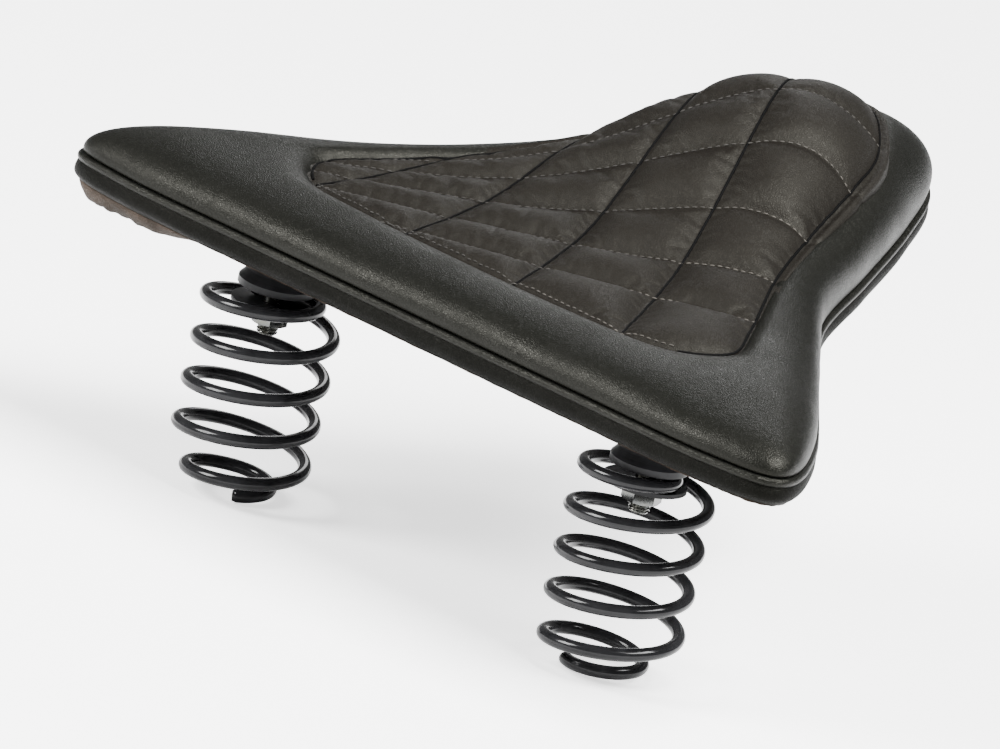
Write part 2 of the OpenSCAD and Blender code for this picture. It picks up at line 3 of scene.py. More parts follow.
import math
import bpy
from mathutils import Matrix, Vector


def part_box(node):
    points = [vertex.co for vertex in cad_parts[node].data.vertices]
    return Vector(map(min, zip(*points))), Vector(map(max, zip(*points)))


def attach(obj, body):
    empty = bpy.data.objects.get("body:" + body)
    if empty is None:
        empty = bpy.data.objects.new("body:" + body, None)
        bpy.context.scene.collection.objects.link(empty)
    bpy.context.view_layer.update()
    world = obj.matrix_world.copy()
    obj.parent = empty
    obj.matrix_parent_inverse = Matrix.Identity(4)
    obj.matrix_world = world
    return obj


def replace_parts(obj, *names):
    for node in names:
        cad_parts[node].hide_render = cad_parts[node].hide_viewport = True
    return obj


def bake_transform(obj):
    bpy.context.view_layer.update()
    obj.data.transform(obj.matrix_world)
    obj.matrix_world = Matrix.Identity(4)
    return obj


bl_info = {
    "name": "Sprung Solo Seat",
    "version": (1, 0, 0),
    "blender": (4, 5, 0),
    "location": "View3D > Sidebar > Seat",
    "description": "Dresses a sprung solo motorcycle seat in quilted leather, with springs and fittings",
    "category": "Add Mesh",
}

import bpy
import numpy as np
from bpy.props import FloatProperty, FloatVectorProperty, IntProperty, PointerProperty
from mathutils import Matrix, Vector, noise
from mathutils.bvhtree import BVHTree
from mathutils.geometry import delaunay_2d_cdt

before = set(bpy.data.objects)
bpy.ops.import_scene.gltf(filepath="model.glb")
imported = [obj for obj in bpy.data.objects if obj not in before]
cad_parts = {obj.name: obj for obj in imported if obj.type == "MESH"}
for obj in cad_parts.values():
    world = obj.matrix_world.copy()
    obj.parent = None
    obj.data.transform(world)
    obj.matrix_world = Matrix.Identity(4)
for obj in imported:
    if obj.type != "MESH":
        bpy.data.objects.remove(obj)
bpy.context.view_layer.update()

# The springs' line: midway between the two springs, at the level of their upper eyes
EYE_TOP = 0.0043
SPRING_LINE = Vector((
    0.0,
    (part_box("spring_washers")[0].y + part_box("spring_washers")[1].y) / 2,
    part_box("left_spool")[0].z - EYE_TOP,
))
FOOT_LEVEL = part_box("left_spring")[0].z
SIDES = {"left": -1, "right": 1}


def length(name, default, text):
    """A size that a user may change, in metres."""
    return FloatProperty(name=name, description=text, default=default, unit="LENGTH", precision=4)


def ratio(name, default, text):
    """A plain number that a user may change."""
    return FloatProperty(name=name, description=text, default=default)


def angle(name, degrees, text):
    """An angle that a user may change, given in degrees."""
    return FloatProperty(name=name, description=text, default=math.radians(degrees), subtype="ANGLE")


def count(name, default, text):
    """A whole number that a user may change."""
    return IntProperty(name=name, description=text, default=default)


def paint(name, default, text):
    """A colour that a user may change."""
    return FloatVectorProperty(name=name, description=text, default=default, subtype="COLOR", min=0, max=1)


class SeatSizes(bpy.types.PropertyGroup):
    """Outline, heights and edge of the saddle, counted from the springs' line."""

    tail_width: length("Tail width", 0.344, "Widest width, across the two tail lobes")
    tail_back: length("Tail edge", 0.038, "From the springs' line back to the tail edge")
    lobe_back: length("Lobe", 0.026, "From the springs' line back to the widest point of the lobes")
    waist_y: length("Waist place", 0.106, "From the springs' line forward to the waist")
    waist_width: length("Waist width", 0.146, "Width at the waist")
    nose_y: length("Nose shoulder", 0.188, "From the springs' line forward to the shoulder of the nose")
    nose_width: length("Nose width", 0.076, "Width across the nose")
    nose_reach: length("Nose tip", 0.227, "From the springs' line forward to the nose tip")
    border_tail: length("Tail border", 0.034, "Width of the plain border at the tail")
    border_nose: length("Nose border", 0.033, "Width of the plain border at the nose")
    insert_width: length("Insert width", 0.202, "Width of the quilted insert across the lobes")
    welt_height: length("Welt height", 0.0295, "Height of the welt line at the tail")
    nose_rise: length("Nose rise", 0.038, "How far the nose climbs above the tail")
    bend_y: length("Bend", 0.020, "Where the climb towards the nose begins")
    seam_height: length("Seam height", 0.019, "Height of the insert seam above the welt line, at the tail")
    seam_gain: length("Seam gain", 0.016, "Extra seam height at the nose")
    crown: length("Crown", 0.034, "Swell of the insert over its seam, along the nose")
    roll_out: length("Roll swell", 0.003, "How far the padded roll stands out past the welt")
    welt_radius: length("Welt radius", 0.0017, "Radius of the leather-covered cord")
    skirt_top: length("Skirt top", -0.0018, "Top of the leather skirt, from the welt line")
    skirt_bottom: length("Skirt bottom", -0.0091, "Bottom of the leather skirt, from the welt line")
    pan_under: length("Pan underside", -0.0075, "Underside of the steel pan, from the welt line")
    skirt_wall: length("Skirt wall", 0.0022, "Thickness of the leather skirt")
    hem_width: length("Hem width", 0.0145, "Width of the leather folded under the pan")


class QuiltSizes(bpy.types.PropertyGroup):
    """Sewn lines and padding of the insert."""

    cells: count("Cells", 4, "Cells of the quilting each way")
    nose_ease: ratio("Nose ease", 0.68, "How much shallower the quilting is over the nose")
    fold_depth: length("Fold depth", 0.0042, "Depth of the plain folds, which run forward and left")
    stitch_depth: length("Stitched depth", 0.0035, "Depth of the stitched lines, which run forward and right")
    seam_depth: length("Seam depth", 0.0036, "Depth of the seam around the insert")
    fold_reach: length("Fold reach", 0.0075, "How far a fold's hollow reaches into the padding")
    stitch_reach: length("Stitched reach", 0.0058, "How far a stitched line's hollow reaches")
    spacing: length("Cloth spacing", 0.0021, "Spacing of the points of the simulated leather")
    pressure: ratio("Pressure", 8.0, "Pressure of the padding in the simulation")
    most_swell: length("Most swell", 0.0042, "Furthest that a point of the leather may move")
    stitch_length: length("Stitch", 0.0020, "Length of a stitch")
    stitch_pitch: length("Stitch pitch", 0.0029, "From one stitch to the next")
    stitch_radius: length("Thread", 0.00034, "Radius of the thread")


class SpringSizes(bpy.types.PropertyGroup):
    """Wire of the two coil springs."""

    gap: length("Spacing", 0.184, "Distance between the two springs")
    outer: length("Outer diameter", 0.054, "Outer diameter of a spring")
    wire: length("Wire", 0.005, "Diameter of the wire")
    pitch: length("Pitch", 0.0163, "Rise of the wire in one full turn")
    turns: ratio("Turns", 3.7, "Full turns between the closed ends")
    eye_turns: ratio("Eye turns", 0.9, "Turns in which the wire opens out from its eye")
    eye_flat: ratio("Flat eye", 0.45, "Turns that lie flat in the eye")
    foot_turns: ratio("Foot turns", 0.6, "Turns in which the wire closes in to its foot")
    ring_turns: ratio("Ring turns", 0.5, "Turns of the small ring at the foot")
    foot_slope: ratio("Foot slope", 0.35, "Slope left in the small ring, as a share of the pitch")
    eye_radius: length("Eye radius", 0.0075, "Radius of the wire's centre line at the eye")
    foot_radius: length("Foot radius", 0.014, "Radius of the wire's centre line at the foot")
    eye_height: length("Eye height", 0.0015, "Height of the wire's centre line at the eye")
    left_phase: angle("Left phase", 205, "Turn of the left spring about its axis")
    right_phase: angle("Right phase", 120, "Turn of the right spring about its axis")


class SeatColours(bpy.types.PropertyGroup):
    """Finishes of the leather, thread and metal."""

    border: paint("Border leather", (0.0036, 0.0038, 0.0030), "Smooth leather of the border roll")
    insert: paint("Insert leather", (0.0052, 0.0043, 0.0034), "Leather of the quilted insert")
    hem: paint("Hem leather", (0.036, 0.024, 0.017), "Folded leather under the pan")
    thread: paint("Thread", (0.055, 0.049, 0.041), "Thread of the visible stitches")
    enamel: paint("Black enamel", (0.006, 0.006, 0.0065), "Springs, spools and brackets")
    zinc: paint("Zinc", (0.11, 0.114, 0.114), "Bolts, screws and nuts")
    bronze: paint("Bronze", (0.46, 0.30, 0.13), "Bushes of the nose hinge")
    floor: paint("Floor", (0.93, 0.93, 0.93), "Studio floor")


# Outline and heights

def mm(x, y):
    """A point or step given in millimetres."""
    return np.array((x, y)) / 1000


# Steps from the sizes to the points of the outline and of the seam
TAIL_MID, TAIL_CORNER, TAIL_ROUND = 0.46, 0.83, mm(0, 1)
LOBE_TURN, WAIST_TURN = mm(-20, 40), mm(-20, -35)
NOSE_CORNER, NOSE_ROUND = 0.56, 0.010
SEAM_ROUND, SEAM_CORNER, SEAM_TURN, SEAM_DIP = mm(0, 4), mm(0, 46), mm(-11, 70), mm(-19, -26)
SEAM_WAIST, SEAM_NECK, SEAM_SHOULDER = mm(-19, 6), mm(-12, -4), mm(-5, -20)
SEAM_NOSE, SEAM_NOSE_ROUND = 0.36, 0.005
SPAN_STEPS = 20

# Heights: bends of the welt line and of the seam, and the crown's heart, start, run and bend
WELT_BEND, SEAM_BEND = 1.5, 0.9
HEART_Y = 0.062
CROWN_FROM, CROWN_RUN, CROWN_BEND = 0.0485, 0.115, 3.5


def half_outline(s):
    """Points of the seat's outline on the rider's right, from the middle of the tail to the nose tip."""
    tail, waist, nose = s.tail_width / 2, s.waist_width / 2, s.nose_width / 2
    return np.array([
        (0, -s.tail_back),
        (tail * TAIL_MID, -s.tail_back),
        np.array((tail * TAIL_CORNER, -s.tail_back)) + TAIL_ROUND,
        (tail, -s.lobe_back),
        np.array((tail, -s.lobe_back)) + LOBE_TURN,
        np.array(((tail + waist) / 2, s.waist_y)) + WAIST_TURN,
        (waist, s.waist_y),
        ((waist + nose) / 2, (s.waist_y + s.nose_y) / 2),
        (nose, s.nose_y),
        (nose * NOSE_CORNER, s.nose_reach - NOSE_ROUND),
        (0, s.nose_reach),
    ])


def half_seam(s):
    """Points of the insert seam on the same side, point for point."""
    seam, waist, nose = s.insert_width / 2, s.waist_width / 2, s.nose_width / 2
    low, high = s.border_tail - s.tail_back, s.nose_reach - s.border_nose
    return np.array([
        (0, low),
        (seam * TAIL_MID, low),
        np.array((seam * TAIL_CORNER, low)) + SEAM_ROUND,
        np.array((seam, -s.lobe_back)) + SEAM_CORNER,
        np.array((seam, -s.lobe_back)) + SEAM_TURN,
        np.array(((seam + waist) / 2, s.waist_y)) + SEAM_DIP,
        np.array((waist, s.waist_y)) + SEAM_WAIST,
        np.array(((waist + nose) / 2, (s.waist_y + s.nose_y) / 2)) + SEAM_NECK,
        np.array((nose, s.nose_y)) + SEAM_SHOULDER,
        (nose * SEAM_NOSE, high - SEAM_NOSE_ROUND),
        (0, high),
    ])


def mirrored(half):
    """Half of a loop's points, followed by their mirror images."""
    return np.vstack([half, half[-2:0:-1] * (-1, 1)])


def smooth_loop(half, steps=SPAN_STEPS):
    """Closed smooth loop through half of its points, mirrored to the other side."""
    return rounded(mirrored(half), steps)


def rounded(points, steps=SPAN_STEPS):
    """Closed smooth loop through points."""
    before, after, beyond = np.roll(points, 1, 0), np.roll(points, -1, 0), np.roll(points, -2, 0)
    t = np.linspace(0, 1, steps, endpoint=False)[None, :, None]
    p0, p1, p2, p3 = (p[:, None, :] for p in (before, points, after, beyond))
    curve = 0.5 * (2 * p1 + (p2 - p0) * t + (2 * p0 - 5 * p1 + 4 * p2 - p3) * t**2
                   + (3 * p1 - p0 - 3 * p2 + p3) * t**3)
    return curve.reshape(-1, 2)


def inward(loop):
    """Unit normals of a loop, towards its inside."""
    run = np.roll(loop, -1, 0) - np.roll(loop, 1, 0)
    run /= np.linalg.norm(run, axis=1)[:, None]
    return np.stack([-run[:, 1], run[:, 0]], 1)


def ease(u):
    """Smooth step from 0 to 1."""
    v = np.clip(u, 0, 1)
    return v * v * (3 - 2 * v)


def welt_at(s, y):
    """Height of the welt line: level over the springs, climbing to the nose."""
    way = np.clip((y - s.bend_y) / (s.nose_reach - s.bend_y), 0, None)
    return s.welt_height + s.nose_rise * way**WELT_BEND


def seam_over(s, y):
    """Height of the insert seam above the welt line."""
    low, high = s.border_tail - s.tail_back, s.nose_reach - s.border_nose
    return s.seam_height + s.seam_gain * np.clip((y - low) / (high - low), 0, 1)**SEAM_BEND


def insert_height(s, points, seam):
    """Height of the insert's padding, before its sewn lines."""
    heart = np.array((0, HEART_Y))
    around = np.arctan2(*(seam - heart).T[::-1])
    order = np.argsort(around)
    reach = np.linalg.norm(seam - heart, axis=1)[order]
    off = points - heart
    limit = np.interp(np.arctan2(off[:, 1], off[:, 0]), around[order], reach, period=2 * math.pi)
    share = np.clip(np.linalg.norm(off, axis=1) / limit, 0, 1)
    y = points[:, 1]
    swell = s.crown * ease((y - CROWN_FROM) / CROWN_RUN) * (1 - share**CROWN_BEND)
    return welt_at(s, y) + seam_over(s, y) + swell


# Mesh helpers

def place(points):
    """Points counted from the springs' line, moved into the frame."""
    return np.asarray(points) + np.array(SPRING_LINE)


def new_piece(name, points, faces, material, smooth=True):
    """A mesh object at the origin, with its place in its mesh."""
    mesh = bpy.data.meshes.new(name)
    mesh.from_pydata([tuple(p) for p in points], [], faces)
    mesh.materials.append(material)
    mesh.validate()
    if smooth:
        mesh.shade_smooth()
    piece = bpy.data.objects.new(name, mesh)
    bpy.context.scene.collection.objects.link(piece)
    return piece


def ring_faces(rings, count, closed):
    """Quads between successive rings of points, the last joined to the first if closed."""
    faces = []
    for k in range(rings if closed else rings - 1):
        a, b = k * count, ((k + 1) % rings) * count
        for i in range(count):
            j = (i + 1) % count
            faces.append((a + i, a + j, b + j, b + i))
    return faces


def tube(path, radius, sides, closed):
    """Points and faces of a round tube along a path."""
    path = np.asarray(path)
    if closed:
        run = np.roll(path, -1, 0) - np.roll(path, 1, 0)
    else:
        run = np.gradient(path, axis=0)
    run /= np.linalg.norm(run, axis=1)[:, None]
    side = np.cross(run, (0, 0, 1))
    side /= np.linalg.norm(side, axis=1)[:, None]
    top = np.cross(side, run)
    turn = np.linspace(0, 2 * math.pi, sides, endpoint=False)
    radius = np.broadcast_to(radius, len(path))[:, None, None]
    points = (path[:, None, :] + radius * (np.cos(turn)[None, :, None] * side[:, None, :]
                                           + np.sin(turn)[None, :, None] * top[:, None, :]))
    faces = [tuple(reversed(f)) for f in ring_faces(len(path), sides, closed)]
    if not closed:
        faces.append(tuple(range(sides)))
        last = (len(path) - 1) * sides
        faces.append(tuple(range(last + sides - 1, last - 1, -1)))
    return points.reshape(-1, 3), faces


def evaluated_mesh(piece):
    """Replaces a piece's mesh by its mesh after modifiers, and removes the modifiers."""
    graph = bpy.context.evaluated_depsgraph_get()
    mesh = bpy.data.meshes.new_from_object(piece.evaluated_get(graph))
    piece.modifiers.clear()
    old = piece.data
    piece.data = mesh
    bpy.data.meshes.remove(old)
    mesh.name = piece.name
    return piece


def coordinates(mesh):
    """The mesh's points as an array."""
    flat = np.empty(len(mesh.vertices) * 3, np.float32)
    mesh.vertices.foreach_get("co", flat)
    return flat.reshape(-1, 3).astype(float)


# Shader node groups and materials

SCUFF_DEPTH = 0.0002
# Painted shade on the thread: it darkens towards the left, between these two places across the seat, down to
# this share of its colour
THREAD_SHADE_TO, THREAD_LIT_FROM, THREAD_SHADE_TONE = -0.005, 0.06, 0.25


def group(name, inputs, outputs):
    """An empty shader group with named sockets, and its end nodes."""
    tree = bpy.data.node_groups.new(name, "ShaderNodeTree")
    for label, kind, value in inputs:
        socket = tree.interface.new_socket(label, in_out="INPUT", socket_type=kind)
        socket.default_value = value
    for label, kind in outputs:
        tree.interface.new_socket(label, in_out="OUTPUT", socket_type=kind)
    return tree, tree.nodes.new("NodeGroupInput"), tree.nodes.new("NodeGroupOutput")


def add_node(tree, kind, **values):
    """A node whose named inputs take values or links, and whose other names are its settings."""
    node = tree.nodes.new(kind)
    inputs = values.pop("inputs", {})
    for key, value in values.items():
        setattr(node, key, value)
    for key, value in inputs.items():
        if isinstance(value, bpy.types.NodeSocket):
            tree.links.new(value, node.inputs[key])
        else:
            node.inputs[key].default_value = value
    return node


def math_node(tree, operation, a, b=0.0):
    """The result of one arithmetic step."""
    return add_node(tree, "ShaderNodeMath", operation=operation, inputs={0: a, 1: b}).outputs[0]


def leather_grain():
    """Pebbled grain of leather: rounded pebbles with fine creases between them."""
    tree, start, end = group("Leather grain",
                             [("Scale", "NodeSocketFloat", 900.0), ("Pores", "NodeSocketFloat", 0.25)],
                             [("Height", "NodeSocketFloat"), ("Crease", "NodeSocketFloat")])
    place_at = add_node(tree, "ShaderNodeTexCoord").outputs["Object"]
    bend = add_node(tree, "ShaderNodeTexNoise", inputs={"Vector": place_at, "Scale": 260.0, "Detail": 2.0})
    shifted = add_node(tree, "ShaderNodeMixRGB", blend_type="LINEAR_LIGHT",
                       inputs={"Fac": 0.0016, "Color1": place_at, "Color2": bend.outputs["Color"]})
    cells = add_node(tree, "ShaderNodeTexVoronoi", feature="DISTANCE_TO_EDGE",
                     inputs={"Vector": shifted.outputs[0], "Scale": start.outputs["Scale"]})
    pebble = add_node(tree, "ShaderNodeMapRange", interpolation_type="SMOOTHSTEP",
                      inputs={"Value": cells.outputs["Distance"], "From Min": 0.0, "From Max": 0.32})
    fine_scale = math_node(tree, "MULTIPLY", start.outputs["Scale"], 2.6)
    pores = add_node(tree, "ShaderNodeTexNoise",
                     inputs={"Vector": place_at, "Scale": fine_scale, "Detail": 3.0})
    pore_part = math_node(tree, "MULTIPLY", pores.outputs["Fac"], start.outputs["Pores"])
    height = math_node(tree, "ADD", pebble.outputs[0], pore_part)
    tree.links.new(height, end.inputs["Height"])
    tree.links.new(math_node(tree, "SUBTRACT", 1.0, pebble.outputs[0]), end.inputs["Crease"])
    return tree


def colour_drift():
    """Slow change between two colours over a surface."""
    tree, start, end = group("Colour drift",
                             [("First", "NodeSocketColor", (0.5, 0.5, 0.5, 1)),
                              ("Second", "NodeSocketColor", (0.4, 0.4, 0.4, 1)),
                              ("Scale", "NodeSocketFloat", 30.0)],
                             [("Colour", "NodeSocketColor"), ("Mask", "NodeSocketFloat")])
    place_at = add_node(tree, "ShaderNodeTexCoord").outputs["Object"]
    cloud = add_node(tree, "ShaderNodeTexNoise",
                     inputs={"Vector": place_at, "Scale": start.outputs["Scale"],
                             "Detail": 5.0, "Roughness": 0.6})
    mask = add_node(tree, "ShaderNodeMapRange", interpolation_type="SMOOTHSTEP",
                    inputs={"Value": cloud.outputs["Fac"], "From Min": 0.32, "From Max": 0.68})
    mixed = add_node(tree, "ShaderNodeMixRGB",
                     inputs={"Fac": mask.outputs[0], "Color1": start.outputs["First"],
                             "Color2": start.outputs["Second"]})
    tree.links.new(mixed.outputs[0], end.inputs["Colour"])
    tree.links.new(mask.outputs[0], end.inputs["Mask"])
    return tree


def scuffs():
    """Fine scratches and dust specks on metal and paint."""
    tree, start, end = group("Scuffs",
                             [("Scale", "NodeSocketFloat", 120.0), ("Amount", "NodeSocketFloat", 0.5)],
                             [("Mask", "NodeSocketFloat"), ("Height", "NodeSocketFloat")])
    place_at = add_node(tree, "ShaderNodeTexCoord").outputs["Object"]
    fine = add_node(tree, "ShaderNodeTexNoise",
                    inputs={"Vector": place_at, "Scale": start.outputs["Scale"],
                            "Detail": 6.0, "Roughness": 0.7})
    edge = add_node(tree, "ShaderNodeMapRange",
                    inputs={"Value": fine.outputs["Fac"], "From Min": 0.56, "From Max": 0.72})
    mask = math_node(tree, "MULTIPLY", edge.outputs[0], start.outputs["Amount"])
    tree.links.new(mask, end.inputs["Mask"])
    tree.links.new(fine.outputs["Fac"], end.inputs["Height"])
    return tree


def shared(maker):
    """The node group that a function makes, built once."""
    label = maker.__doc__
    for tree in bpy.data.node_groups:
        if tree.get("made_by") == label:
            return tree
    tree = maker()
    tree["made_by"] = label
    return tree


def placed_group(tree, maker, **inputs):
    """A shared group placed in a material."""
    node = tree.nodes.new("ShaderNodeGroup")
    node.node_tree = shared(maker)
    for label, value in inputs.items():
        node.inputs[label].default_value = value
    return node


def new_material(name):
    """A material with its node tree and its shader."""
    found = bpy.data.materials.get(name)
    if found:
        return found, None, None
    material = bpy.data.materials.new(name)
    material.use_nodes = True
    return material, material.node_tree, material.node_tree.nodes["Principled BSDF"]


def rgba(colour, gain=1.0):
    """A colour with full alpha, made lighter or darker."""
    return tuple(min(1.0, c * gain) for c in colour) + (1.0,)


def range_link(tree, value, socket, low, high):
    """Feeds a value from 0 to 1 to a socket as a value from low to high."""
    scaled = add_node(tree, "ShaderNodeMapRange", inputs={"Value": value, "To Min": low, "To Max": high})
    tree.links.new(scaled.outputs[0], socket)


def bumped(tree, shader, height, strength, distance):
    """Fine relief on a shader."""
    bump = add_node(tree, "ShaderNodeBump",
                    inputs={"Strength": strength, "Distance": distance, "Height": height})
    tree.links.new(bump.outputs[0], shader.inputs["Normal"])


def set_inputs(shader, values):
    """Gives values to a shader's inputs."""
    for name, value in values.items():
        shader.inputs[name].default_value = value


def leather(name, colour, second, scale, depth, rough, drift=38.0, shine=0.12):
    """Grained leather with slow changes of tone, darker creases and a dull polish."""
    material, tree, shader = new_material(name)
    if tree is None:
        return material
    grain = placed_group(tree, leather_grain, Scale=scale)
    tone = placed_group(tree, colour_drift, First=rgba(colour), Second=rgba(second), Scale=drift)
    # Painted shade: the base colour darkens in the grain's creases
    dark = add_node(tree, "ShaderNodeMixRGB", blend_type="MULTIPLY",
                    inputs={"Fac": math_node(tree, "MULTIPLY", grain.outputs["Crease"], 0.55),
                            "Color1": tone.outputs["Colour"], "Color2": (0.25, 0.25, 0.25, 1)})
    tree.links.new(dark.outputs[0], shader.inputs["Base Color"])
    mixed = math_node(tree, "ADD", math_node(tree, "MULTIPLY", grain.outputs["Crease"], 0.6),
                      math_node(tree, "MULTIPLY", tone.outputs["Mask"], 0.4))
    range_link(tree, mixed, shader.inputs["Roughness"], rough - 0.08, rough + 0.14)
    bumped(tree, shader, grain.outputs["Height"], 0.45, depth)
    set_inputs(shader, {"Specular IOR Level": shine, "Specular Tint": (1.0, 0.98, 0.86, 1)})
    return material


def enamel(name, colour, rough, scale=140.0):
    """Stoved paint on steel: nearly smooth, with fine scuffs."""
    material, tree, shader = new_material(name)
    if tree is None:
        return material
    wear = placed_group(tree, scuffs, Scale=scale, Amount=0.7)
    tone = placed_group(tree, colour_drift, First=rgba(colour), Second=rgba(colour, 2.0), Scale=90.0)
    tree.links.new(tone.outputs["Colour"], shader.inputs["Base Color"])
    range_link(tree, wear.outputs["Mask"], shader.inputs["Roughness"], rough, rough + 0.22)
    bumped(tree, shader, wear.outputs["Height"], 0.12, SCUFF_DEPTH)
    set_inputs(shader, {"Specular IOR Level": 0.15, "Coat Weight": 0.06, "Coat Roughness": 0.08})
    return material


def plated(name, colour, rough):
    """Bright plating on steel, with clouds of tone and fine scuffs."""
    material, tree, shader = new_material(name)
    if tree is None:
        return material
    wear = placed_group(tree, scuffs, Scale=420.0, Amount=0.8)
    warm = (colour[0] * 0.92, colour[1] * 0.88, colour[2] * 0.76)
    tone = placed_group(tree, colour_drift, First=rgba(colour), Second=rgba(warm), Scale=150.0)
    tree.links.new(tone.outputs["Colour"], shader.inputs["Base Color"])
    range_link(tree, wear.outputs["Mask"], shader.inputs["Roughness"], rough, rough + 0.25)
    bumped(tree, shader, wear.outputs["Height"], 0.15, SCUFF_DEPTH)
    set_inputs(shader, {"Metallic": 1.0})
    return material


def thread_material(name, colour, shine=0.3):
    """Twisted sewing thread, soiled darker towards the left."""
    material, tree, shader = new_material(name)
    if tree is None:
        return material
    tone = placed_group(tree, colour_drift, First=rgba(colour), Second=rgba(colour, 0.55), Scale=60.0)
    # Painted shade: the thread's colour darkens towards the left of the seat
    spot = add_node(tree, "ShaderNodeTexCoord").outputs["Object"]
    across = add_node(tree, "ShaderNodeSeparateXYZ", inputs={0: spot}).outputs["X"]
    lit_share = add_node(tree, "ShaderNodeMapRange", interpolation_type="SMOOTHSTEP",
                     inputs={"Value": across, "From Min": THREAD_SHADE_TO, "From Max": THREAD_LIT_FROM})
    shaded_thread = add_node(tree, "ShaderNodeMixRGB",
                      inputs={"Fac": lit_share.outputs[0], "Color1": rgba(colour, THREAD_SHADE_TONE),
                              "Color2": tone.outputs["Colour"]})
    tree.links.new(shaded_thread.outputs[0], shader.inputs["Base Color"])
    wear = placed_group(tree, scuffs, Scale=2600.0, Amount=1.0)
    bumped(tree, shader, wear.outputs["Height"], 0.5, SCUFF_DEPTH)
    set_inputs(shader, {"Roughness": 0.7, "Specular IOR Level": shine})
    return material


# Quilted insert

# Corners of the quilting's lattice, and how much its folds crowd towards the nose
QUILT_LEFT, QUILT_NOSE = mm(-78, 57), mm(19, 168)
QUILT_RIGHT, QUILT_TAIL = mm(86, 50), mm(-90, -19)
QUILT_GAIN = 0.24
DROP_FROM = 0.3
SEAM_REACH = 0.0055
TUCK = 0.003
NOSE_FROM, NOSE_RUN = 0.105, 0.05
SEWN_WITHIN = 1e-5
ROOM_SHARE = 0.6
SIM_SCALE = 20.0
SIM_FRAMES = 20
CLOTH = {
    "quality": 6, "mass": 0.3, "tension_stiffness": 12, "compression_stiffness": 12, "shear_stiffness": 8,
    "bending_stiffness": 0.4, "use_pressure": True, "shrink_min": -0.03,
}


def cross2(a, b):
    """Cross product of plane vectors."""
    return a[..., 0] * b[..., 1] - a[..., 1] * b[..., 0]


def clipped(a, b, loop):
    """The stretches of the line through a and b that lie inside a loop."""
    edge = np.roll(loop, -1, 0) - loop
    slant = cross2(b - a, edge)
    slant = np.where(abs(slant) < 1e-12, 1e-12, slant)
    t = cross2(loop - a, edge) / slant
    w = cross2(loop - a, b - a) / slant
    hits = np.sort(t[(w >= 0) & (w < 1)])
    return [(a + hits[k] * (b - a), a + hits[k + 1] * (b - a)) for k in range(0, len(hits) - 1, 2)]


def sewn_lines(q, loop):
    """Folds and stitched lines of the quilting, clipped to a loop."""
    folds, stitched = [], []
    for k in range(q.cells + 1):
        t = k / q.cells
        if k < q.cells:
            f = t * (1 + QUILT_GAIN * (1 - t))
            ends = (1 - f) * QUILT_LEFT + f * QUILT_NOSE, (1 - f) * QUILT_TAIL + f * QUILT_RIGHT
            folds += clipped(*ends, loop)
        ends = (1 - t) * QUILT_LEFT + t * QUILT_TAIL, (1 - t) * QUILT_NOSE + t * QUILT_RIGHT
        stitched += clipped(*ends, loop)
    return folds, stitched


def off_segment(points, a, b):
    """Distance of points from a stretch of line."""
    run = b - a
    t = np.clip((points - a) @ run / (run @ run), 0, 1)
    return np.linalg.norm(points - a - t[:, None] * run, axis=1)


def off_loop(points, loop):
    """Distance of points from a closed loop."""
    least = np.full(len(points), np.inf)
    for a, b in zip(loop, np.roll(loop, -1, 0)):
        least = np.minimum(least, off_segment(points, a, b))
    return least


def inside(points, loop):
    """Which points lie inside a loop."""
    x, y = points.T
    found = np.zeros(len(points), bool)
    for (x1, y1), (x2, y2) in zip(loop, np.roll(loop, -1, 0)):
        if y1 != y2:
            found ^= ((y1 > y) != (y2 > y)) & (x < (x2 - x1) * (y - y1) / (y2 - y1) + x1)
    return found


def nose_share(q, points):
    """How much of the quilting's relief is left, which grows shallower over the nose."""
    return 1 - q.nose_ease * ease((points[:, 1] - NOSE_FROM) / NOSE_RUN)


def sewn_drop(q, points, seam, folds, stitched):
    """How far the sewn lines pull the leather down."""
    drop = q.seam_depth * np.exp(-off_loop(points, seam) / SEAM_REACH)
    for lines, depth, reach in (
        (folds, q.fold_depth, q.fold_reach),
        (stitched, q.stitch_depth, q.stitch_reach),
    ):
        for a, b in lines:
            drop = np.maximum(drop, depth * np.exp(-off_segment(points, a, b) / reach))
    return drop * nose_share(q, points)


def insert_sheet(s, q):
    """Points and triangles of the insert's leather, with edges along every sewn line."""
    seam = smooth_loop(half_seam(s))
    rim = seam - TUCK * inward(seam)
    folds, stitched = sewn_lines(q, rim)
    points, edges = [], []

    def chain(run, closed):
        first = len(points)
        points.extend(run)
        edges.extend((first + i, first + i + 1) for i in range(len(run) - 1))
        if closed:
            edges.append((len(points) - 1, first))

    chain(rim, True)
    chain(seam, True)
    for a, b in folds + stitched:
        steps = max(2, round(np.linalg.norm(b - a) / q.spacing))
        chain([a + (b - a) * k / steps for k in range(1, steps)], False)
    low, high = seam.min(0), seam.max(0)
    rows = np.arange(low[1], high[1], q.spacing * math.sqrt(3) / 2)
    grid = np.array([(x + (k % 2) * q.spacing / 2, y) for k, y in enumerate(rows)
                     for x in np.arange(low[0], high[0], q.spacing)])
    grid = grid[inside(grid, seam)]
    room = off_loop(grid, seam)
    for a, b in folds + stitched:
        room = np.minimum(room, off_segment(grid, a, b))
    points.extend(grid[room > ROOM_SHARE * q.spacing])
    made = delaunay_2d_cdt([Vector(p) for p in points], edges, [], 0, 1e-7)
    flat = np.array([tuple(p) for p in made[0]])
    faces = np.array(made[2])
    faces = faces[inside(flat[faces].mean(1), rim)]
    corner = flat[faces]
    turned = cross2(corner[:, 1] - corner[:, 0], corner[:, 2] - corner[:, 0]) < 0
    faces[turned] = faces[turned][:, ::-1]
    height = insert_height(s, flat, seam) - sewn_drop(q, flat, seam, folds, stitched)
    sewn = ~inside(flat, seam) | (off_loop(flat, seam) < SEWN_WITHIN)
    for a, b in folds + stitched:
        sewn |= off_segment(flat, a, b) < SEWN_WITHIN
    return np.column_stack([flat, height]), [tuple(map(int, f)) for f in faces], sewn


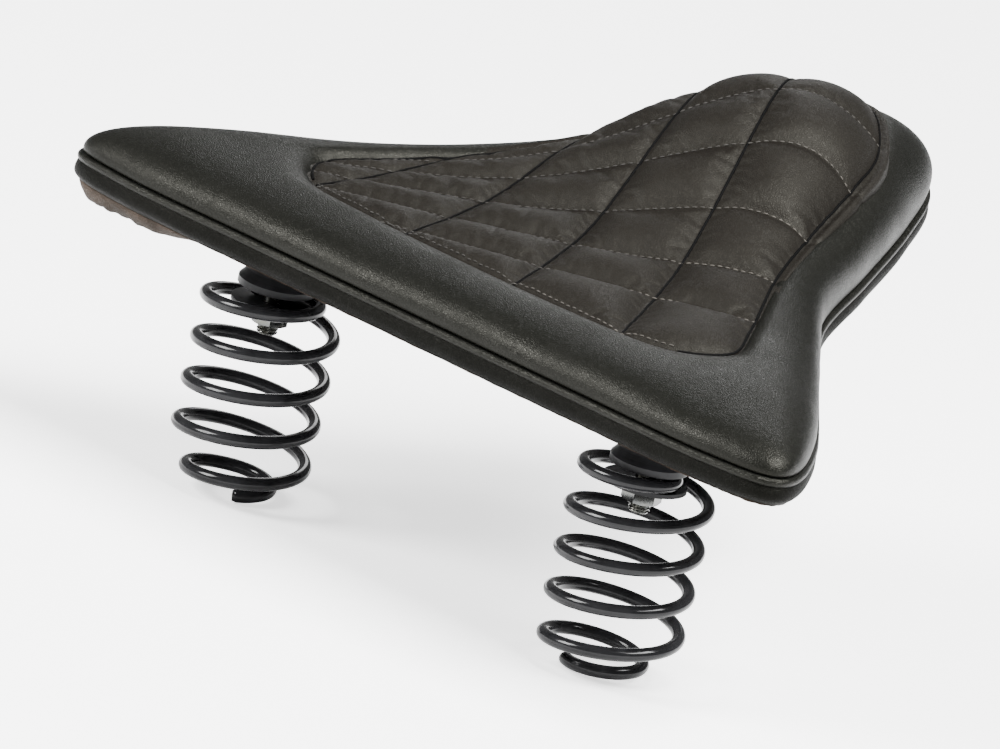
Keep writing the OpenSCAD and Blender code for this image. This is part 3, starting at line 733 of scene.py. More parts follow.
def puff_up(piece, sewn, q):
    """Fills the leather by a cloth simulation with its sewn lines pinned, and caps how far it moves."""
    before = coordinates(piece.data)
    piece.data.vertices.foreach_set("co", (before * SIM_SCALE).ravel())
    held = piece.vertex_groups.new(name="sewn")
    held.add([int(i) for i in np.flatnonzero(sewn)], 1.0, "REPLACE")
    cloth = piece.modifiers.new("Filling", "CLOTH")
    cloth.point_cache.frame_start = 1
    cloth.point_cache.frame_end = SIM_FRAMES
    for name, value in CLOTH.items():
        setattr(cloth.settings, name, value)
    cloth.settings.vertex_group_mass = held.name
    cloth.settings.uniform_pressure_force = q.pressure
    cloth.settings.effector_weights.gravity = 0
    scene = bpy.context.scene
    for step in range(1, SIM_FRAMES + 1):
        scene.frame_set(step)
    graph = bpy.context.evaluated_depsgraph_get()
    shape = piece.evaluated_get(graph).to_mesh()
    after = coordinates(shape) / SIM_SCALE
    piece.modifiers.clear()
    piece.vertex_groups.clear()
    scene.frame_set(1)
    move = after - before
    size = np.linalg.norm(move, axis=1)[:, None]
    print("insert leather moved by up to", round(float(size.max()) * 1000, 2), "mm")
    most = q.most_swell * nose_share(q, before)[:, None]
    move *= np.minimum(1, most / np.maximum(size, 1e-9))
    piece.data.vertices.foreach_set("co", (before + move).ravel())


def surface_of(piece):
    """A search tree of a piece's faces."""
    points = [Vector(p) for p in coordinates(piece.data)]
    return BVHTree.FromPolygons(points, [tuple(p.vertices) for p in piece.data.polygons])


def laid_on(surface, run, lift):
    """Points of a plan line, dropped onto a surface in the frame."""
    laid = []
    for x, y in np.asarray(run):
        above = Vector((x, y, DROP_FROM)) + SPRING_LINE
        hit = surface.ray_cast(above, Vector((0, 0, -1)))[0]
        if hit is not None:
            laid.append(hit + Vector((0, 0, lift)))
    return laid


# Geometry node trees

def beads_tree(name, sizes):
    """A geometry tree with named sizes and a material, and its end nodes."""
    tree = bpy.data.node_groups.new(name, "GeometryNodeTree")
    sockets = [("Geometry", "Geometry")] + [(label, "Float") for label in sizes] + [("Material", "Material")]
    for label, kind in sockets:
        tree.interface.new_socket(label, in_out="INPUT", socket_type="NodeSocket" + kind)
    tree.interface.new_socket("Geometry", in_out="OUTPUT", socket_type="NodeSocketGeometry")
    return tree, tree.nodes.new("NodeGroupInput"), tree.nodes.new("NodeGroupOutput")


def lay_beads(tree, start, end, points, sides, size, axis, facing):
    """Ends a geometry tree with round beads on points, scaled and turned to a direction."""
    ball = add_node(tree, "GeometryNodeMeshUVSphere",
                    inputs={"Segments": sides[0], "Rings": sides[1], "Radius": 1.0})
    scale = add_node(tree, "ShaderNodeCombineXYZ", inputs=dict(zip("XYZ", size)))
    bead = add_node(tree, "GeometryNodeTransform",
                    inputs={"Geometry": ball.outputs[0], "Scale": scale.outputs[0]})
    turn = add_node(tree, "FunctionNodeAlignRotationToVector", axis=axis, inputs={"Vector": facing})
    laid = add_node(tree, "GeometryNodeInstanceOnPoints",
                    inputs={"Points": points, "Instance": bead.outputs[0], "Rotation": turn.outputs[0]})
    real = add_node(tree, "GeometryNodeRealizeInstances", inputs={0: laid.outputs[0]})
    smooth = add_node(tree, "GeometryNodeSetShadeSmooth", inputs={0: real.outputs[0]})
    done = add_node(tree, "GeometryNodeSetMaterial",
                    inputs={"Geometry": smooth.outputs[0], "Material": start.outputs["Material"]})
    tree.links.new(done.outputs[0], end.inputs[0])
    return tree


def stitch_tree():
    """Stitches laid end to end along the edges of a mesh."""
    tree, start, end = beads_tree("Stitches along lines", ("Pitch", "Length", "Radius"))
    curve = add_node(tree, "GeometryNodeMeshToCurve", inputs={0: start.outputs["Geometry"]})
    spaced = add_node(tree, "GeometryNodeResampleCurve", mode="LENGTH",
                      inputs={"Curve": curve.outputs[0], "Length": start.outputs["Pitch"]})
    half = math_node(tree, "MULTIPLY", start.outputs["Length"], 0.5)
    along = add_node(tree, "GeometryNodeInputTangent").outputs[0]
    size = (half, start.outputs["Radius"], start.outputs["Radius"])
    return lay_beads(tree, start, end, spaced.outputs[0], (8, 6), size, "X", along)


def rivet_tree():
    """Domed rivet heads on the points of a mesh, turned to the points' directions."""
    tree, start, end = beads_tree("Rivets on points", ("Radius", "Height"))
    facing = add_node(tree, "GeometryNodeInputNamedAttribute", data_type="FLOAT_VECTOR",
                      inputs={"Name": "facing"})
    size = (start.outputs["Radius"], start.outputs["Radius"], start.outputs["Height"])
    return lay_beads(tree, start, end, start.outputs["Geometry"], (16, 10), size, "Z", facing.outputs[0])


def grown(piece, tree, **values):
    """Runs a geometry tree on a piece and keeps the result as its plain mesh."""
    modifier = piece.modifiers.new(tree.name, "NODES")
    modifier.node_group = tree
    for item in tree.interface.items_tree:
        if item.in_out == "INPUT" and item.name in values:
            modifier[item.identifier] = values[item.name]
    return evaluated_mesh(piece)


def line_piece(name, runs):
    """An object of plain edges along several runs of points."""
    points, edges = [], []
    for run in runs:
        first = len(points)
        points += [tuple(p) for p in run]
        edges += [(first + i, first + i + 1) for i in range(len(run) - 1)]
    mesh = bpy.data.meshes.new(name)
    mesh.from_pydata(points, edges, [])
    piece = bpy.data.objects.new(name, mesh)
    bpy.context.scene.collection.objects.link(piece)
    return piece


# Fasteners

THREAD_SHARE = 0.062
THREAD_STEPS = 6
TIP_CHAMFER = 0.7
FACE_SHARE, FACE_FALL = 0.95, math.tan(math.radians(30))
SHARP_ANGLE = math.radians(32)


def hex_radius(turn, flat):
    """Distance from the axis to a hexagon's edge."""
    sixth = math.pi / 3
    return flat / np.cos((turn + sixth / 2) % sixth - sixth / 2)


def hexagon(flat, bore, low, high, turns=72):
    """Rings of a chamfered hexagon with a bore, from its lower bore edge round to its upper one."""
    turn = np.linspace(0, 2 * math.pi, turns, endpoint=False)
    out = hex_radius(turn, flat)
    face = flat * FACE_SHARE
    fall = (out - face) * FACE_FALL
    flat_ring = np.ones_like(turn)
    rings = [
        (bore * flat_ring, low * flat_ring), (face * flat_ring, low * flat_ring), (out, low + fall),
        (out, high - fall), (face * flat_ring, high * flat_ring), (bore * flat_ring, high * flat_ring),
    ]
    return np.array([np.column_stack([r * np.cos(turn), r * np.sin(turn), z]) for r, z in rings])


def rod(radius, pitch, low, high, threaded_to, turns=36):
    """Rings of a rod whose lower end is threaded and chamfered."""
    turn = np.linspace(0, 2 * math.pi, turns, endpoint=False)
    rings = []
    for z in np.append(np.arange(low, threaded_to, pitch / THREAD_STEPS), high):
        wave = abs(((z / pitch - turn / (2 * math.pi)) % 1) * 2 - 1)
        cut = THREAD_SHARE * 2 * radius * wave * float(z < threaded_to)
        chamfer = max(0.0, pitch * TIP_CHAMFER - (z - low))
        r = np.minimum(radius - cut, radius - chamfer)
        rings.append(np.column_stack([r * np.cos(turn), r * np.sin(turn), np.full_like(turn, z)]))
    return np.array(rings)


class Builder:
    """Collects shapes into one mesh."""

    def __init__(self):
        self.points, self.faces = [], []

    def rings(self, rings, matrix, closed=False):
        """Adds rings of points, joined into a ring-shaped or capped solid."""
        first, (count, around, _) = len(self.points), rings.shape
        self.points += [tuple(matrix @ Vector(p)) for p in rings.reshape(-1, 3)]
        made = ring_faces(count, around, closed)
        if not closed:
            made.append(tuple(range(around - 1, -1, -1)))
            made.append(tuple(range((count - 1) * around, count * around)))
        self.faces += [tuple(first + i for i in face) for face in made]

    def piece(self, name, material):
        """The collected mesh as a piece, with its hard edges kept sharp."""
        made = new_piece(name, self.points, self.faces, material)
        made.data.set_sharp_from_angle(angle=SHARP_ANGLE)
        return made


# Operators

def settings(context):
    """The four groups of settings of the scene."""
    scene = context.scene
    return scene.seat_sizes, scene.quilt_sizes, scene.spring_sizes, scene.seat_colours


def toned(colour, gain):
    """A colour made lighter or darker."""
    return [v * gain for v in colour]


def border_leather(c):
    return leather("border leather", c.border, toned(c.border, 0.8), 1150.0, 0.00014, 0.39)


def insert_leather(c):
    return leather("insert leather", c.insert, toned(c.insert, 1.15), 1300.0, 0.00016, 0.48, 14.0)


def shaded_skirt_leather(c):
    # Painted shade: the skirt is the border's own leather, darkened here as painted shade, with less shine
    dark, darker = toned(c.border, 0.45), toned(c.border, 0.35)
    return leather("skirt leather", dark, darker, 1150.0, 0.0002, 0.5, shine=0.05)


def hem_leather(c):
    return leather("hem leather", c.hem, toned(c.hem, 0.5), 900.0, 0.0003, 0.62, 70.0)


def spring_enamel(c):
    return enamel("spring enamel", c.enamel, 0.16)


def frame_enamel(c):
    return enamel("black enamel", c.enamel, 0.48)


def zinc_plate(c):
    return plated("zinc plate", c.zinc, 0.16)


SENSOR = 36.0
PICTURE_WIDE = 1000
FLOOR_HALF, FLOOR_GAP = 8.0, 0.0003
FLOOR_GLOW = 1.4
WHITE = (1, 1, 1, 1)
WORLD_LIGHT = 0.28
LIT_MIDDLE = Vector((0, 0.08, 0.04))
# Name, place from the lit middle, size and power of each light
LIGHTS = (
    ("key", (-1.0, -1.3, 1.0), 0.8, 95.0),
    ("top", (1.3, 0.1, 2.1), 1.6, 350.0),
    ("back", (-1.0, 1.4, 0.9), 0.6, 7.0),
)


class SEAT_OT_stage(bpy.types.Operator):
    """Pale floor, soft lights and the camera."""

    bl_idname = "seat.stage"
    bl_label = "Stage"

    azimuth: angle("Azimuth", 38, "Turn of the camera about the seat, from behind")
    elevation: angle("Elevation", 16.5, "Height of the camera as an angle")
    roll: angle("Roll", 13, "Turn of the picture")
    distance: length("Distance", 9.0, "From the camera to the springs' line")
    scale: ratio("Pixels per metre", 2780.0, "Scale of the picture at the springs' line")
    aim_right: length("Aim right", 0.01475, "From the springs' line to the picture's middle, to the right")
    aim_up: length("Aim up", 0.00441, "From the springs' line to the picture's middle, upwards")

    def execute(self, context):
        colours = settings(context)[3]
        self.camera(context)
        self.floor(colours)
        self.lights(context)
        return {"FINISHED"}

    def camera(self, context):
        a, e, r = self.azimuth, self.elevation, self.roll
        back = Vector((math.sin(a) * math.cos(e), -math.cos(a) * math.cos(e), math.sin(e)))
        level = Vector((math.cos(a), math.sin(a), 0))
        above = back.cross(level)
        right = math.cos(r) * level + math.sin(r) * above
        up = math.cos(r) * above - math.sin(r) * level
        aim = SPRING_LINE + self.aim_right * right + self.aim_up * up
        camera = bpy.data.cameras.new("photo camera")
        camera.sensor_width = SENSOR
        camera.lens = self.distance * self.scale / PICTURE_WIDE * SENSOR
        eye = bpy.data.objects.new("photo camera", camera)
        turn = Matrix((right, up, back)).transposed()
        eye.matrix_world = Matrix.Translation(aim + self.distance * back) @ turn.to_4x4()
        context.scene.collection.objects.link(eye)
        context.scene.camera = eye

    def floor(self, colours):
        half = FLOOR_HALF
        corners = [(-half, -half), (half, -half), (half, half), (-half, half)]
        material, tree, shader = new_material("studio floor")
        tone = placed_group(tree, colour_drift, First=rgba(colours.floor), Second=rgba(colours.floor, 0.985),
                            Scale=2.0)
        tree.links.new(tone.outputs["Colour"], shader.inputs["Base Color"])
        seen = add_node(tree, "ShaderNodeLightPath").outputs["Is Camera Ray"]
        tree.links.new(math_node(tree, "MULTIPLY", seen, FLOOR_GLOW), shader.inputs["Emission Strength"])
        set_inputs(shader, {"Roughness": 0.9, "Emission Color": WHITE})
        points = [(x, y, FOOT_LEVEL - FLOOR_GAP) for x, y in corners]
        new_piece("studio_floor", points, [(0, 1, 2, 3)], material, smooth=False)

    def lights(self, context):
        world = bpy.data.worlds.new("studio")
        world.use_nodes = True
        set_inputs(world.node_tree.nodes["Background"], {"Color": WHITE, "Strength": WORLD_LIGHT})
        context.scene.world = world
        middle = SPRING_LINE + LIT_MIDDLE
        for name, spot, size, power in LIGHTS:
            lamp = bpy.data.lights.new(name, "AREA")
            lamp.size, lamp.energy = size, power
            holder = bpy.data.objects.new(name, lamp)
            holder.location = middle + Vector(spot)
            holder.rotation_euler = (middle - holder.location).to_track_quat("-Z", "Y").to_euler()
            context.scene.collection.objects.link(holder)


# Border roll: its foot over the welt, the rim turned in under it, and the valley at the seam
FOOT_IN, FOOT_LIFT = 0.0003, 0.0021
RIM = ((0.005, 0.001), (0.0016, 0.0))
VALLEY, VALLEY_BEND = 0.0042, 1.4
SEAM_IN, SEAM_UNDER = 0.0004, 0.003
RIPPLE_SCALE = 30


class SEAT_OT_border(bpy.types.Operator):
    """Plain leather roll around the insert."""

    bl_idname = "seat.border"
    bl_label = "Border roll"

    steps: count("Steps", 36, "Rings from the welt to the seam")
    tail_arc: angle("Tail arc", 84, "How far round the roll turns at the tail")
    nose_arc: angle("Nose arc", 40, "How far round the roll turns at the nose")
    run: length("Run", 0.090, "Length between the two arcs")
    ripple: length("Ripple", 0.0006, "Slow unevenness of the padding")

    def execute(self, context):
        s, q, _, c = settings(context)
        outline, seam = smooth_loop(half_outline(s)), smooth_loop(half_seam(s))
        normal = inward(outline)
        foot = outline + FOOT_IN * normal
        base = welt_at(s, foot[:, 1]) + FOOT_LIFT
        crest = welt_at(s, seam[:, 1]) + seam_over(s, seam[:, 1])
        outward = foot - seam
        outward /= np.linalg.norm(outward, axis=1)[:, None]
        rings = [np.column_stack([foot + step * normal, base + lift]) for step, lift in RIM]
        arc = self.tail_arc + (self.nose_arc - self.tail_arc) * ease((foot[:, 1] + s.lobe_back) / self.run)
        for way in np.linspace(0, 1, self.steps):
            inwards = ((1 - np.cos(arc * way)) / (1 - np.cos(arc)))[:, None]
            p = foot + inwards * (seam - foot) + s.roll_out * math.sin(math.pi * way) * outward
            z = base + np.sin(arc * way) / np.sin(arc) * (crest - base)
            near = np.linalg.norm(seam - p, axis=1)
            z = z - q.seam_depth * np.exp(-(near / VALLEY)**VALLEY_BEND)
            spots = np.column_stack([p, z]) * RIPPLE_SCALE
            wave = [noise.noise(Vector(spot)) for spot in spots]
            swell = self.ripple * np.array(wave) * math.sin(math.pi * way)
            rings.append(np.column_stack([p + swell[:, None] * outward, z + swell]))
        rings.append(np.column_stack([seam + SEAM_IN * inward(seam), crest - q.seam_depth - SEAM_UNDER]))
        rings.append(np.column_stack([seam, base]))
        points = place(np.vstack(rings))
        piece = new_piece("border_cover", points, ring_faces(len(rings), len(foot), True), border_leather(c))
        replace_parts(piece, "border_roll", "foam_base")
        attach(piece, "seat")
        return {"FINISHED"}


# Sewn lines: how far inside the seam the painted shade lines, the lines' ends and the rear stitches lie
SHADE_LINE_IN, ENDS_IN, REAR_IN = 0.0006, 0.001, 0.0022
REAR_BAND = 0.008
LINE_STEPS = 60
THREAD_LIFT = 0.35
# Thin near-black tubes laid in the folds and along the seam outside the rear band: painted shade, where the
# leather only dips into deep valleys
SHADE_LINE_RADIUS, SHADE_LINE_SIDES = 0.00055, 8
SHADE_LINE_COLOUR, SHADE_LINE_SHINE = (0.0012, 0.0012, 0.0012), 0.05


class SEAT_OT_insert(bpy.types.Operator):
    """Quilted leather insert, filled by simulation, with its folds and stitches."""

    bl_idname = "seat.insert"
    bl_label = "Quilted insert"

    wall: length("Wall", 0.005, "Thickness of the padded panel")

    def execute(self, context):
        s, q, _, c = settings(context)
        points, faces, sewn = insert_sheet(s, q)
        piece = new_piece("quilted_cover", place(points), faces, insert_leather(c))
        puff_up(piece, sewn, q)
        smoother = piece.modifiers.new("Smooth", "SUBSURF")
        smoother.levels = smoother.render_levels = 1
        backing = piece.modifiers.new("Backing", "SOLIDIFY")
        backing.thickness, backing.offset = self.wall, -1
        evaluated_mesh(piece)
        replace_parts(piece, "quilted_insert", "foam_core")
        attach(piece, "seat")
        self.sew(s, q, c, surface_of(piece))
        return {"FINISHED"}

    def sew(self, s, q, c, surface):
        seam = smooth_loop(half_seam(s))
        folds, stitched = sewn_lines(q, seam + ENDS_IN * inward(seam))
        tail = seam + REAR_IN * inward(seam)
        band = s.border_tail - s.tail_back + REAR_BAND
        tail = [p for p in np.roll(tail, len(tail) // 2, 0) if p[1] < band]
        runs = [np.linspace(a, b, LINE_STEPS) for a, b in stitched] + [np.array(tail)]
        runs = [laid_on(surface, run, q.stitch_radius * THREAD_LIFT) for run in runs]
        thread = line_piece("quilt_stitches", [run for run in runs if len(run) > 2])
        colour = thread_material("pale thread", c.thread)
        grown(thread, stitch_tree(), Pitch=q.stitch_pitch, Length=q.stitch_length, Radius=q.stitch_radius,
              Material=colour)
        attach(thread, "seat")
        # Painted shade: near-black tubes along the folds and the seam outside the rear band, standing for the
        # shade in their valleys
        dark = Builder()
        sides = [p for p in seam + SHADE_LINE_IN * inward(seam) if p[1] > band]
        for line in [np.linspace(a, b, LINE_STEPS) for a, b in folds] + [sides]:
            run = laid_on(surface, line, 0.0)
            points = tube(run, SHADE_LINE_RADIUS, SHADE_LINE_SIDES, False)[0]
            dark.rings(points.reshape(len(run), SHADE_LINE_SIDES, 3)[:, ::-1], Matrix.Identity(4))
        cord = dark.piece("fold_cords", thread_material("dark thread", SHADE_LINE_COLOUR, SHADE_LINE_SHINE))
        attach(cord, "seat")


WELT_SIDES = 14
# Skirt: rings, step in under the lap, bulge, tuck towards the bottom, unevenness and lower edge
SKIRT_RINGS, LAP_IN, SKIRT_UNDER = 12, 0.0009, 0.0008
BULGE_LEAST, BULGE_MORE, BULGE_RUN = 0.0004, 0.0012, 1.05
TUCK_DEPTH, TUCK_FROM = 0.0022, 0.6
SKIRT_WAVE, WAVE_SCALE, WAVE_DRIFT = 0.0004, 55, 2
# Hem: rings, start, back edge, measure of the outline's bends, belly of the sag, and pleats
HEM_RINGS, HEM_FROM, HEM_BACK = 14, 0.08, 0.13
BEND_SPAN, BEND_WINDOW, BEND_FULL = 4, 15, 14
BELLY_RUN, BELLY_BEND, BELLY_UNTIL, BELLY_END = 1.1, 0.8, 0.9, 0.15
FOLD_SHARE, FOLD_SCALE, FINE_SHARE, FINE_SCALE = 0.7, (210, 1.2, 3), 0.3, (420, 3.0, 9)
HEM_WAVE, HEM_LIFT = 0.0003, 0.0004
SLOPE_STEP = 0.002


class SEAT_OT_edge(bpy.types.Operator):
    """Welt cord, leather skirt and the hem folded under the pan, with its rivets."""

    bl_idname = "seat.edge"
    bl_label = "Welt, skirt and hem"

    pleat: length("Pleats", 0.0012, "Depth of the hem's pleats")
    left_sag: length("Left sag", 0.0062, "How far the hem hangs at the left lobe")
    right_sag: length("Right sag", 0.0008, "How far the hem hangs at the right lobe")
    lap: length("Lap", 0.0009, "How far the skirt laps up over the welt")
    rivets: count("Rivets", 16, "Rivets in the hem")
    rivet_radius: length("Rivet radius", 0.0026, "Radius of a rivet's head")
    rivet_height: length("Rivet height", 0.0013, "Height of a rivet's head")

    def execute(self, context):
        s, _, _, c = settings(context)
        outline = smooth_loop(half_outline(s))
        normal = inward(outline)
        corners = mirrored(half_outline(s))
        edge = rounded(corners + (s.skirt_wall + s.hem_width) * inward(corners))
        self.welt(s, c, outline, normal)
        self.skirt(s, c, outline, normal)
        self.hem(s, c, outline, edge)
        self.rivet_heads(s, c, (outline + edge) / 2)
        return {"FINISHED"}

    def welt(self, s, c, outline, normal):
        line = outline + FOOT_IN * normal
        path = np.column_stack([line, welt_at(s, line[:, 1])])
        points, faces = tube(place(path), s.welt_radius, WELT_SIDES, True)
        colour = leather("welt leather", c.border, toned(c.border, 0.8), 1300.0, 0.0002, 0.34)
        piece = new_piece("welt_cord", points, faces, colour)
        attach(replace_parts(piece, "edge_welt"), "seat")

    def skirt(self, s, c, outline, normal):
        level = welt_at(s, outline[:, 1])
        tall = s.skirt_top - s.skirt_bottom
        rings = [np.column_stack([outline + s.skirt_wall * normal, level + s.skirt_top]),
                 np.column_stack([outline + LAP_IN * normal, level + s.skirt_top + self.lap])]
        for t in np.linspace(0, 1, SKIRT_RINGS):
            bulge = BULGE_LEAST + BULGE_MORE * math.sin(math.pi * min(1, t * BULGE_RUN))
            tuck = TUCK_DEPTH * max(0, (t - TUCK_FROM) / (1 - TUCK_FROM))**2
            wave = np.array([noise.noise(Vector((x, y, t * WAVE_DRIFT))) for x, y in outline * WAVE_SCALE])
            out = bulge + SKIRT_WAVE * wave * t - tuck
            high = s.skirt_top + self.lap - t * (tall + self.lap)
            rings.append(np.column_stack([outline - out[:, None] * normal, level + high]))
        inner = outline + (s.skirt_wall + SKIRT_UNDER) * normal
        rings.append(np.column_stack([inner, level + s.skirt_bottom]))
        points = place(np.vstack(rings[::-1]))
        faces = ring_faces(len(rings), len(outline), True)
        piece = new_piece("leather_skirt", points, faces, shaded_skirt_leather(c))
        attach(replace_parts(piece, "side_skirt"), "seat")

    def hem(self, s, c, outline, edge):
        run = np.roll(outline, -1, 0) - np.roll(outline, 1, 0)
        turn = np.arctan2(run[:, 1], run[:, 0])
        bend = np.unwrap(turn)
        bend = (np.roll(bend, -BEND_SPAN) - np.roll(bend, BEND_SPAN) + math.pi) % (2 * math.pi) - math.pi
        window = np.ones(BEND_WINDOW) / BEND_WINDOW
        bend = np.convolve(np.tile(bend / np.linalg.norm(run, axis=1), 3), window, "same")
        bend = np.clip(bend[len(outline):2 * len(outline)] / BEND_FULL, 0, 1)
        way = np.concatenate([[0], np.cumsum(np.linalg.norm(np.diff(outline, axis=0), axis=1))])
        sag = np.where(outline[:, 0] < 0, self.left_sag, self.right_sag) * bend
        rings = []

        def waves(scale, t):
            along, across, seed = scale
            return np.array([noise.noise(Vector((d * along, t * across, seed))) for d in way])

        for t in np.linspace(0, 1, HEM_RINGS):
            way_in = HEM_FROM + (1 - HEM_FROM) * t
            belly = math.sin(math.pi * min(1, t * BELLY_RUN))**BELLY_BEND if t < BELLY_UNTIL else BELLY_END
            folds, fine = waves(FOLD_SCALE, t), waves(FINE_SCALE, t)
            pleats = self.pleat * bend * (FOLD_SHARE * folds + FINE_SHARE * fine)
            drop = (sag + pleats) * belly + HEM_WAVE * fine
            line = outline + way_in * (edge - outline)
            under = welt_at(s, line[:, 1]) + s.skirt_bottom - np.maximum(drop, -HEM_LIFT)
            rings.append(np.column_stack([line, under]))
        rings.append(np.column_stack([edge, welt_at(s, edge[:, 1]) + s.pan_under]))
        near = outline + HEM_BACK * (edge - outline)
        rings.append(np.column_stack([near, welt_at(s, near[:, 1]) + s.pan_under]))
        points = place(np.vstack(rings[::-1]))
        piece = new_piece("leather_hem", points, ring_faces(len(rings), len(outline), True), hem_leather(c))
        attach(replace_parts(piece, "folded_hem"), "seat")

    def rivet_heads(self, s, c, line):
        spots = line[[int((k + 0.5) * len(line) / self.rivets) for k in range(self.rivets)]]
        step = SLOPE_STEP
        slope = (welt_at(s, spots[:, 1] + step) - welt_at(s, spots[:, 1] - step)) / (2 * step)
        facing = np.column_stack([np.zeros_like(slope), slope, -np.ones_like(slope)])
        centre = place(np.column_stack([spots, welt_at(s, spots[:, 1]) + s.skirt_bottom]))
        piece = line_piece("hem_rivet_heads", [[p] for p in centre])
        held = piece.data.attributes.new("facing", "FLOAT_VECTOR", "POINT")
        held.data.foreach_set("vector", facing.ravel())
        grown(piece, rivet_tree(), Radius=self.rivet_radius, Height=self.rivet_height,
              Material=zinc_plate(c))
        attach(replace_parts(piece, "hem_rivets"), "seat")


class SEAT_OT_springs(bpy.types.Operator):
    """Two coil springs, each bending with the seat."""

    bl_idname = "seat.springs"
    bl_label = "Springs"

    steps: count("Steps", 56, "Rings of the wire in a turn")
    sides: count("Sides", 20, "Sides of the wire")
    end_share: ratio("End share", 0.8, "Thickness of the wire at its rounded-off ends")

    def execute(self, context):
        _, _, w, c = settings(context)
        for side, sign in SIDES.items():
            phase = getattr(w, side + "_phase")
            path = place(self.wire(w, phase) + (sign * w.gap / 2, 0, 0))
            radius = np.full(len(path), w.wire / 2)
            radius[[0, -1]] *= self.end_share
            points, faces = tube(path, radius, self.sides, False)
            piece = new_piece(side + "_coil", points, faces, spring_enamel(c))
            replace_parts(piece, side + "_spring")
            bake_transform(piece)
        return {"FINISHED"}

    def wire(self, w, phase):
        total = w.eye_turns + w.turns + w.foot_turns + w.ring_turns
        u = np.linspace(0, total, math.ceil(total * self.steps))
        full = (w.outer - w.wire) / 2
        closing = u - w.eye_turns - w.turns
        out = np.where(u < w.eye_turns, w.eye_radius + (full - w.eye_radius) * ease(u / w.eye_turns),
                       full - (full - w.foot_radius) * ease(closing / w.foot_turns))
        eye_way = np.clip(u, w.eye_flat, w.eye_turns) - w.eye_flat
        lag = (np.clip(closing, 0, w.foot_turns)**2 / (2 * w.foot_turns)
               + np.maximum(0, closing - w.foot_turns))
        fall = (eye_way**2 / (2 * (w.eye_turns - w.eye_flat)) + np.maximum(0, u - w.eye_turns)
                - (1 - w.foot_slope) * lag)
        turn = phase - 2 * math.pi * u
        return np.column_stack([out * np.cos(turn), out * np.sin(turn), w.eye_height - w.pitch * fall])


class SEAT_OT_fasteners(bpy.types.Operator):
    """Spring bolts and nuts, and the hinge's bolt and nuts, with chamfers and threads."""

    bl_idname = "seat.fasteners"
    bl_label = "Fasteners"

    flat: length("Flats", 0.013, "Width across flats of the spring nuts")
    bolt: length("Bolt", 0.008, "Diameter of the spring bolts")
    pitch: length("Thread pitch", 0.00125, "Pitch of the spring bolts' threads")
    head: length("Head", 0.0045, "Height of the spring bolts' heads")
    turned: ratio("Turned", 0.3, "How far each nut is turned from the seat's axis, in radians")
    shank: length("Shank", 0.005, "Radius of the hinge bolt")
    hinge_pitch: length("Hinge pitch", 0.0015, "Pitch of the hinge bolt's thread")

    def execute(self, context):
        _, _, w, c = settings(context)
        zinc = zinc_plate(c)
        bolts, nuts = Builder(), Builder()
        low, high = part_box("spring_bolts")[0].z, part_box("spring_bolts")[1].z
        nut_low, nut_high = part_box("spring_nuts")[0].z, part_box("spring_nuts")[1].z
        for sign in SIDES.values():
            turned = Matrix.Rotation(sign * self.turned, 4, "Z")
            at = Matrix.Translation((sign * w.gap / 2, SPRING_LINE.y, 0)) @ turned
            shank = high - self.head
            bolts.rings(rod(self.bolt / 2, self.pitch, low, shank, nut_high), at)
            bolts.rings(hexagon(self.flat / 2, self.bolt / 4, shank, high), at, closed=True)
            nuts.rings(hexagon(self.flat / 2, self.bolt / 2, nut_low, nut_high), at, closed=True)
        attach(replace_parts(bolts.piece("spring_bolt_set", zinc), "spring_bolts"), "seat")
        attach(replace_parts(nuts.piece("spring_nut_set", zinc), "spring_nuts"), "seat")
        self.hinge_bolt(zinc)
        return {"FINISHED"}

    def hinge_bolt(self, zinc):
        low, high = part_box("pivot_bolt")
        nut_low, nut_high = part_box("pivot_nut")
        middle = (low + high) / 2
        along = Matrix.Translation((0, middle.y, middle.z)) @ Matrix.Rotation(math.pi / 2, 4, "Y")
        flat = (high.y - low.y) / 2 * math.cos(math.pi / 6)
        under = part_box("pivot_washers")[1].x
        bolt, nut = Builder(), Builder()
        bolt.rings(rod(self.shank, self.hinge_pitch, low.x, under, nut_high.x), along)
        bolt.rings(hexagon(flat, self.shank / 2, under, high.x), along, closed=True)
        nut.rings(hexagon(flat, self.shank, nut_low.x, nut_high.x), along, closed=True)
        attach(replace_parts(bolt.piece("hinge_bolt", zinc), "pivot_bolt"), "base")
        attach(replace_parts(nut.piece("hinge_nut", zinc), "pivot_nut"), "base")


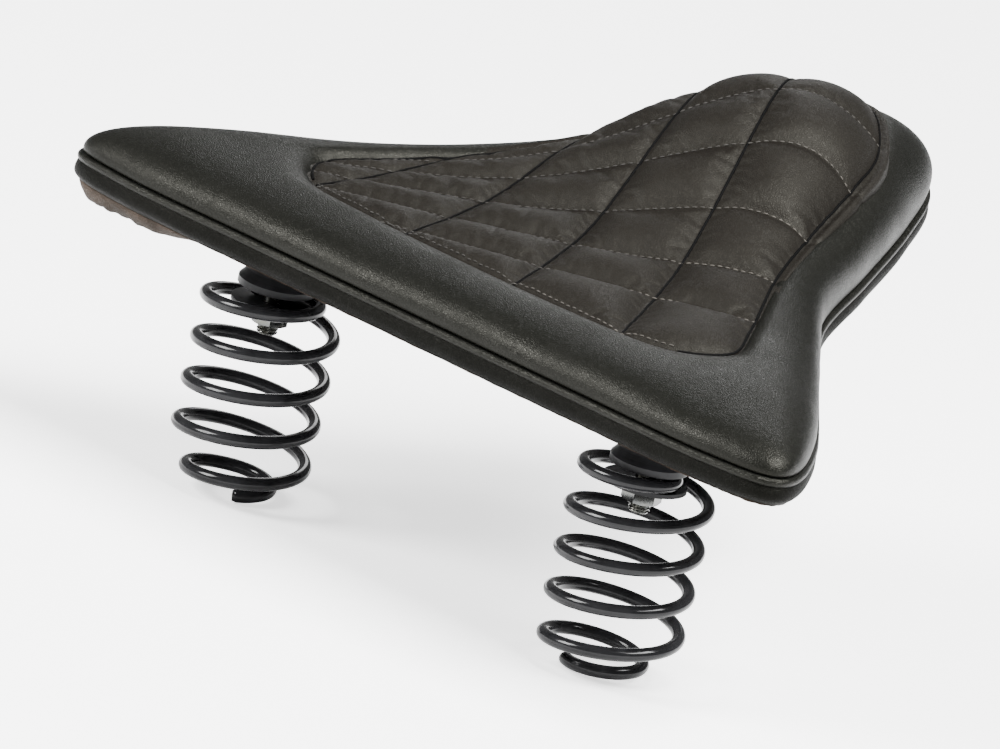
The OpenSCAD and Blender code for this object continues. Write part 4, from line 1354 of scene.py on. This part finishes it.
class SEAT_OT_fittings(bpy.types.Operator):
    """Finishes of the pan, spools, brackets and small parts."""

    bl_idname = "seat.fittings"
    bl_label = "Fittings"

    def execute(self, context):
        c = settings(context)[3]
        pan = enamel("pan paint", toned(c.enamel, 2.2), 0.5, 60.0)
        finishes = {
            "seat_pan": pan,
            "left_spool": frame_enamel(c), "right_spool": frame_enamel(c),
            "nose_bracket": frame_enamel(c), "pivot_base": frame_enamel(c),
            "spring_washers": frame_enamel(c), "nose_screws": zinc_plate(c), "nose_washers": zinc_plate(c),
            "nose_nuts": zinc_plate(c), "pivot_washers": zinc_plate(c),
            "nose_bushes": plated("sintered bronze", c.bronze, 0.4),
        }
        for node, finish in finishes.items():
            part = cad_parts[node]
            part.material_slots[0].material = finish
        return {"FINISHED"}


class SEAT_PT_panel(bpy.types.Panel):
    """The seat's builders, in the order in which they run."""

    bl_label = "Sprung solo seat"
    bl_idname = "SEAT_PT_panel"
    bl_space_type = "VIEW_3D"
    bl_region_type = "UI"
    bl_category = "Seat"

    def draw(self, context):
        for maker in OPERATORS:
            self.layout.operator(maker.bl_idname)
        for store in GROUPS:
            box = self.layout.box()
            values = getattr(context.scene, store)
            for name in values.__annotations__:
                box.prop(values, name)


OPERATORS = (
    SEAT_OT_stage, SEAT_OT_border, SEAT_OT_insert, SEAT_OT_edge, SEAT_OT_springs, SEAT_OT_fasteners,
    SEAT_OT_fittings,
)
GROUPS = {
    "seat_sizes": SeatSizes, "quilt_sizes": QuiltSizes,
    "spring_sizes": SpringSizes, "seat_colours": SeatColours,
}
CLASSES = (*GROUPS.values(), *OPERATORS, SEAT_PT_panel)


def register():
    for item in CLASSES:
        bpy.utils.register_class(item)
    for name, item in GROUPS.items():
        setattr(bpy.types.Scene, name, PointerProperty(type=item))


def unregister():
    for name in GROUPS:
        delattr(bpy.types.Scene, name)
    for item in reversed(CLASSES):
        bpy.utils.unregister_class(item)


def main():
    """Registers the add-on, builds every piece and notes the size before and after."""
    register()
    bpy.ops.seat.stage()
    bpy.ops.seat.border()
    bpy.ops.seat.insert()
    bpy.ops.seat.edge()
    bpy.ops.seat.springs()
    bpy.ops.seat.fasteners()
    bpy.ops.seat.fittings()


if __name__ == "__main__":
    main()
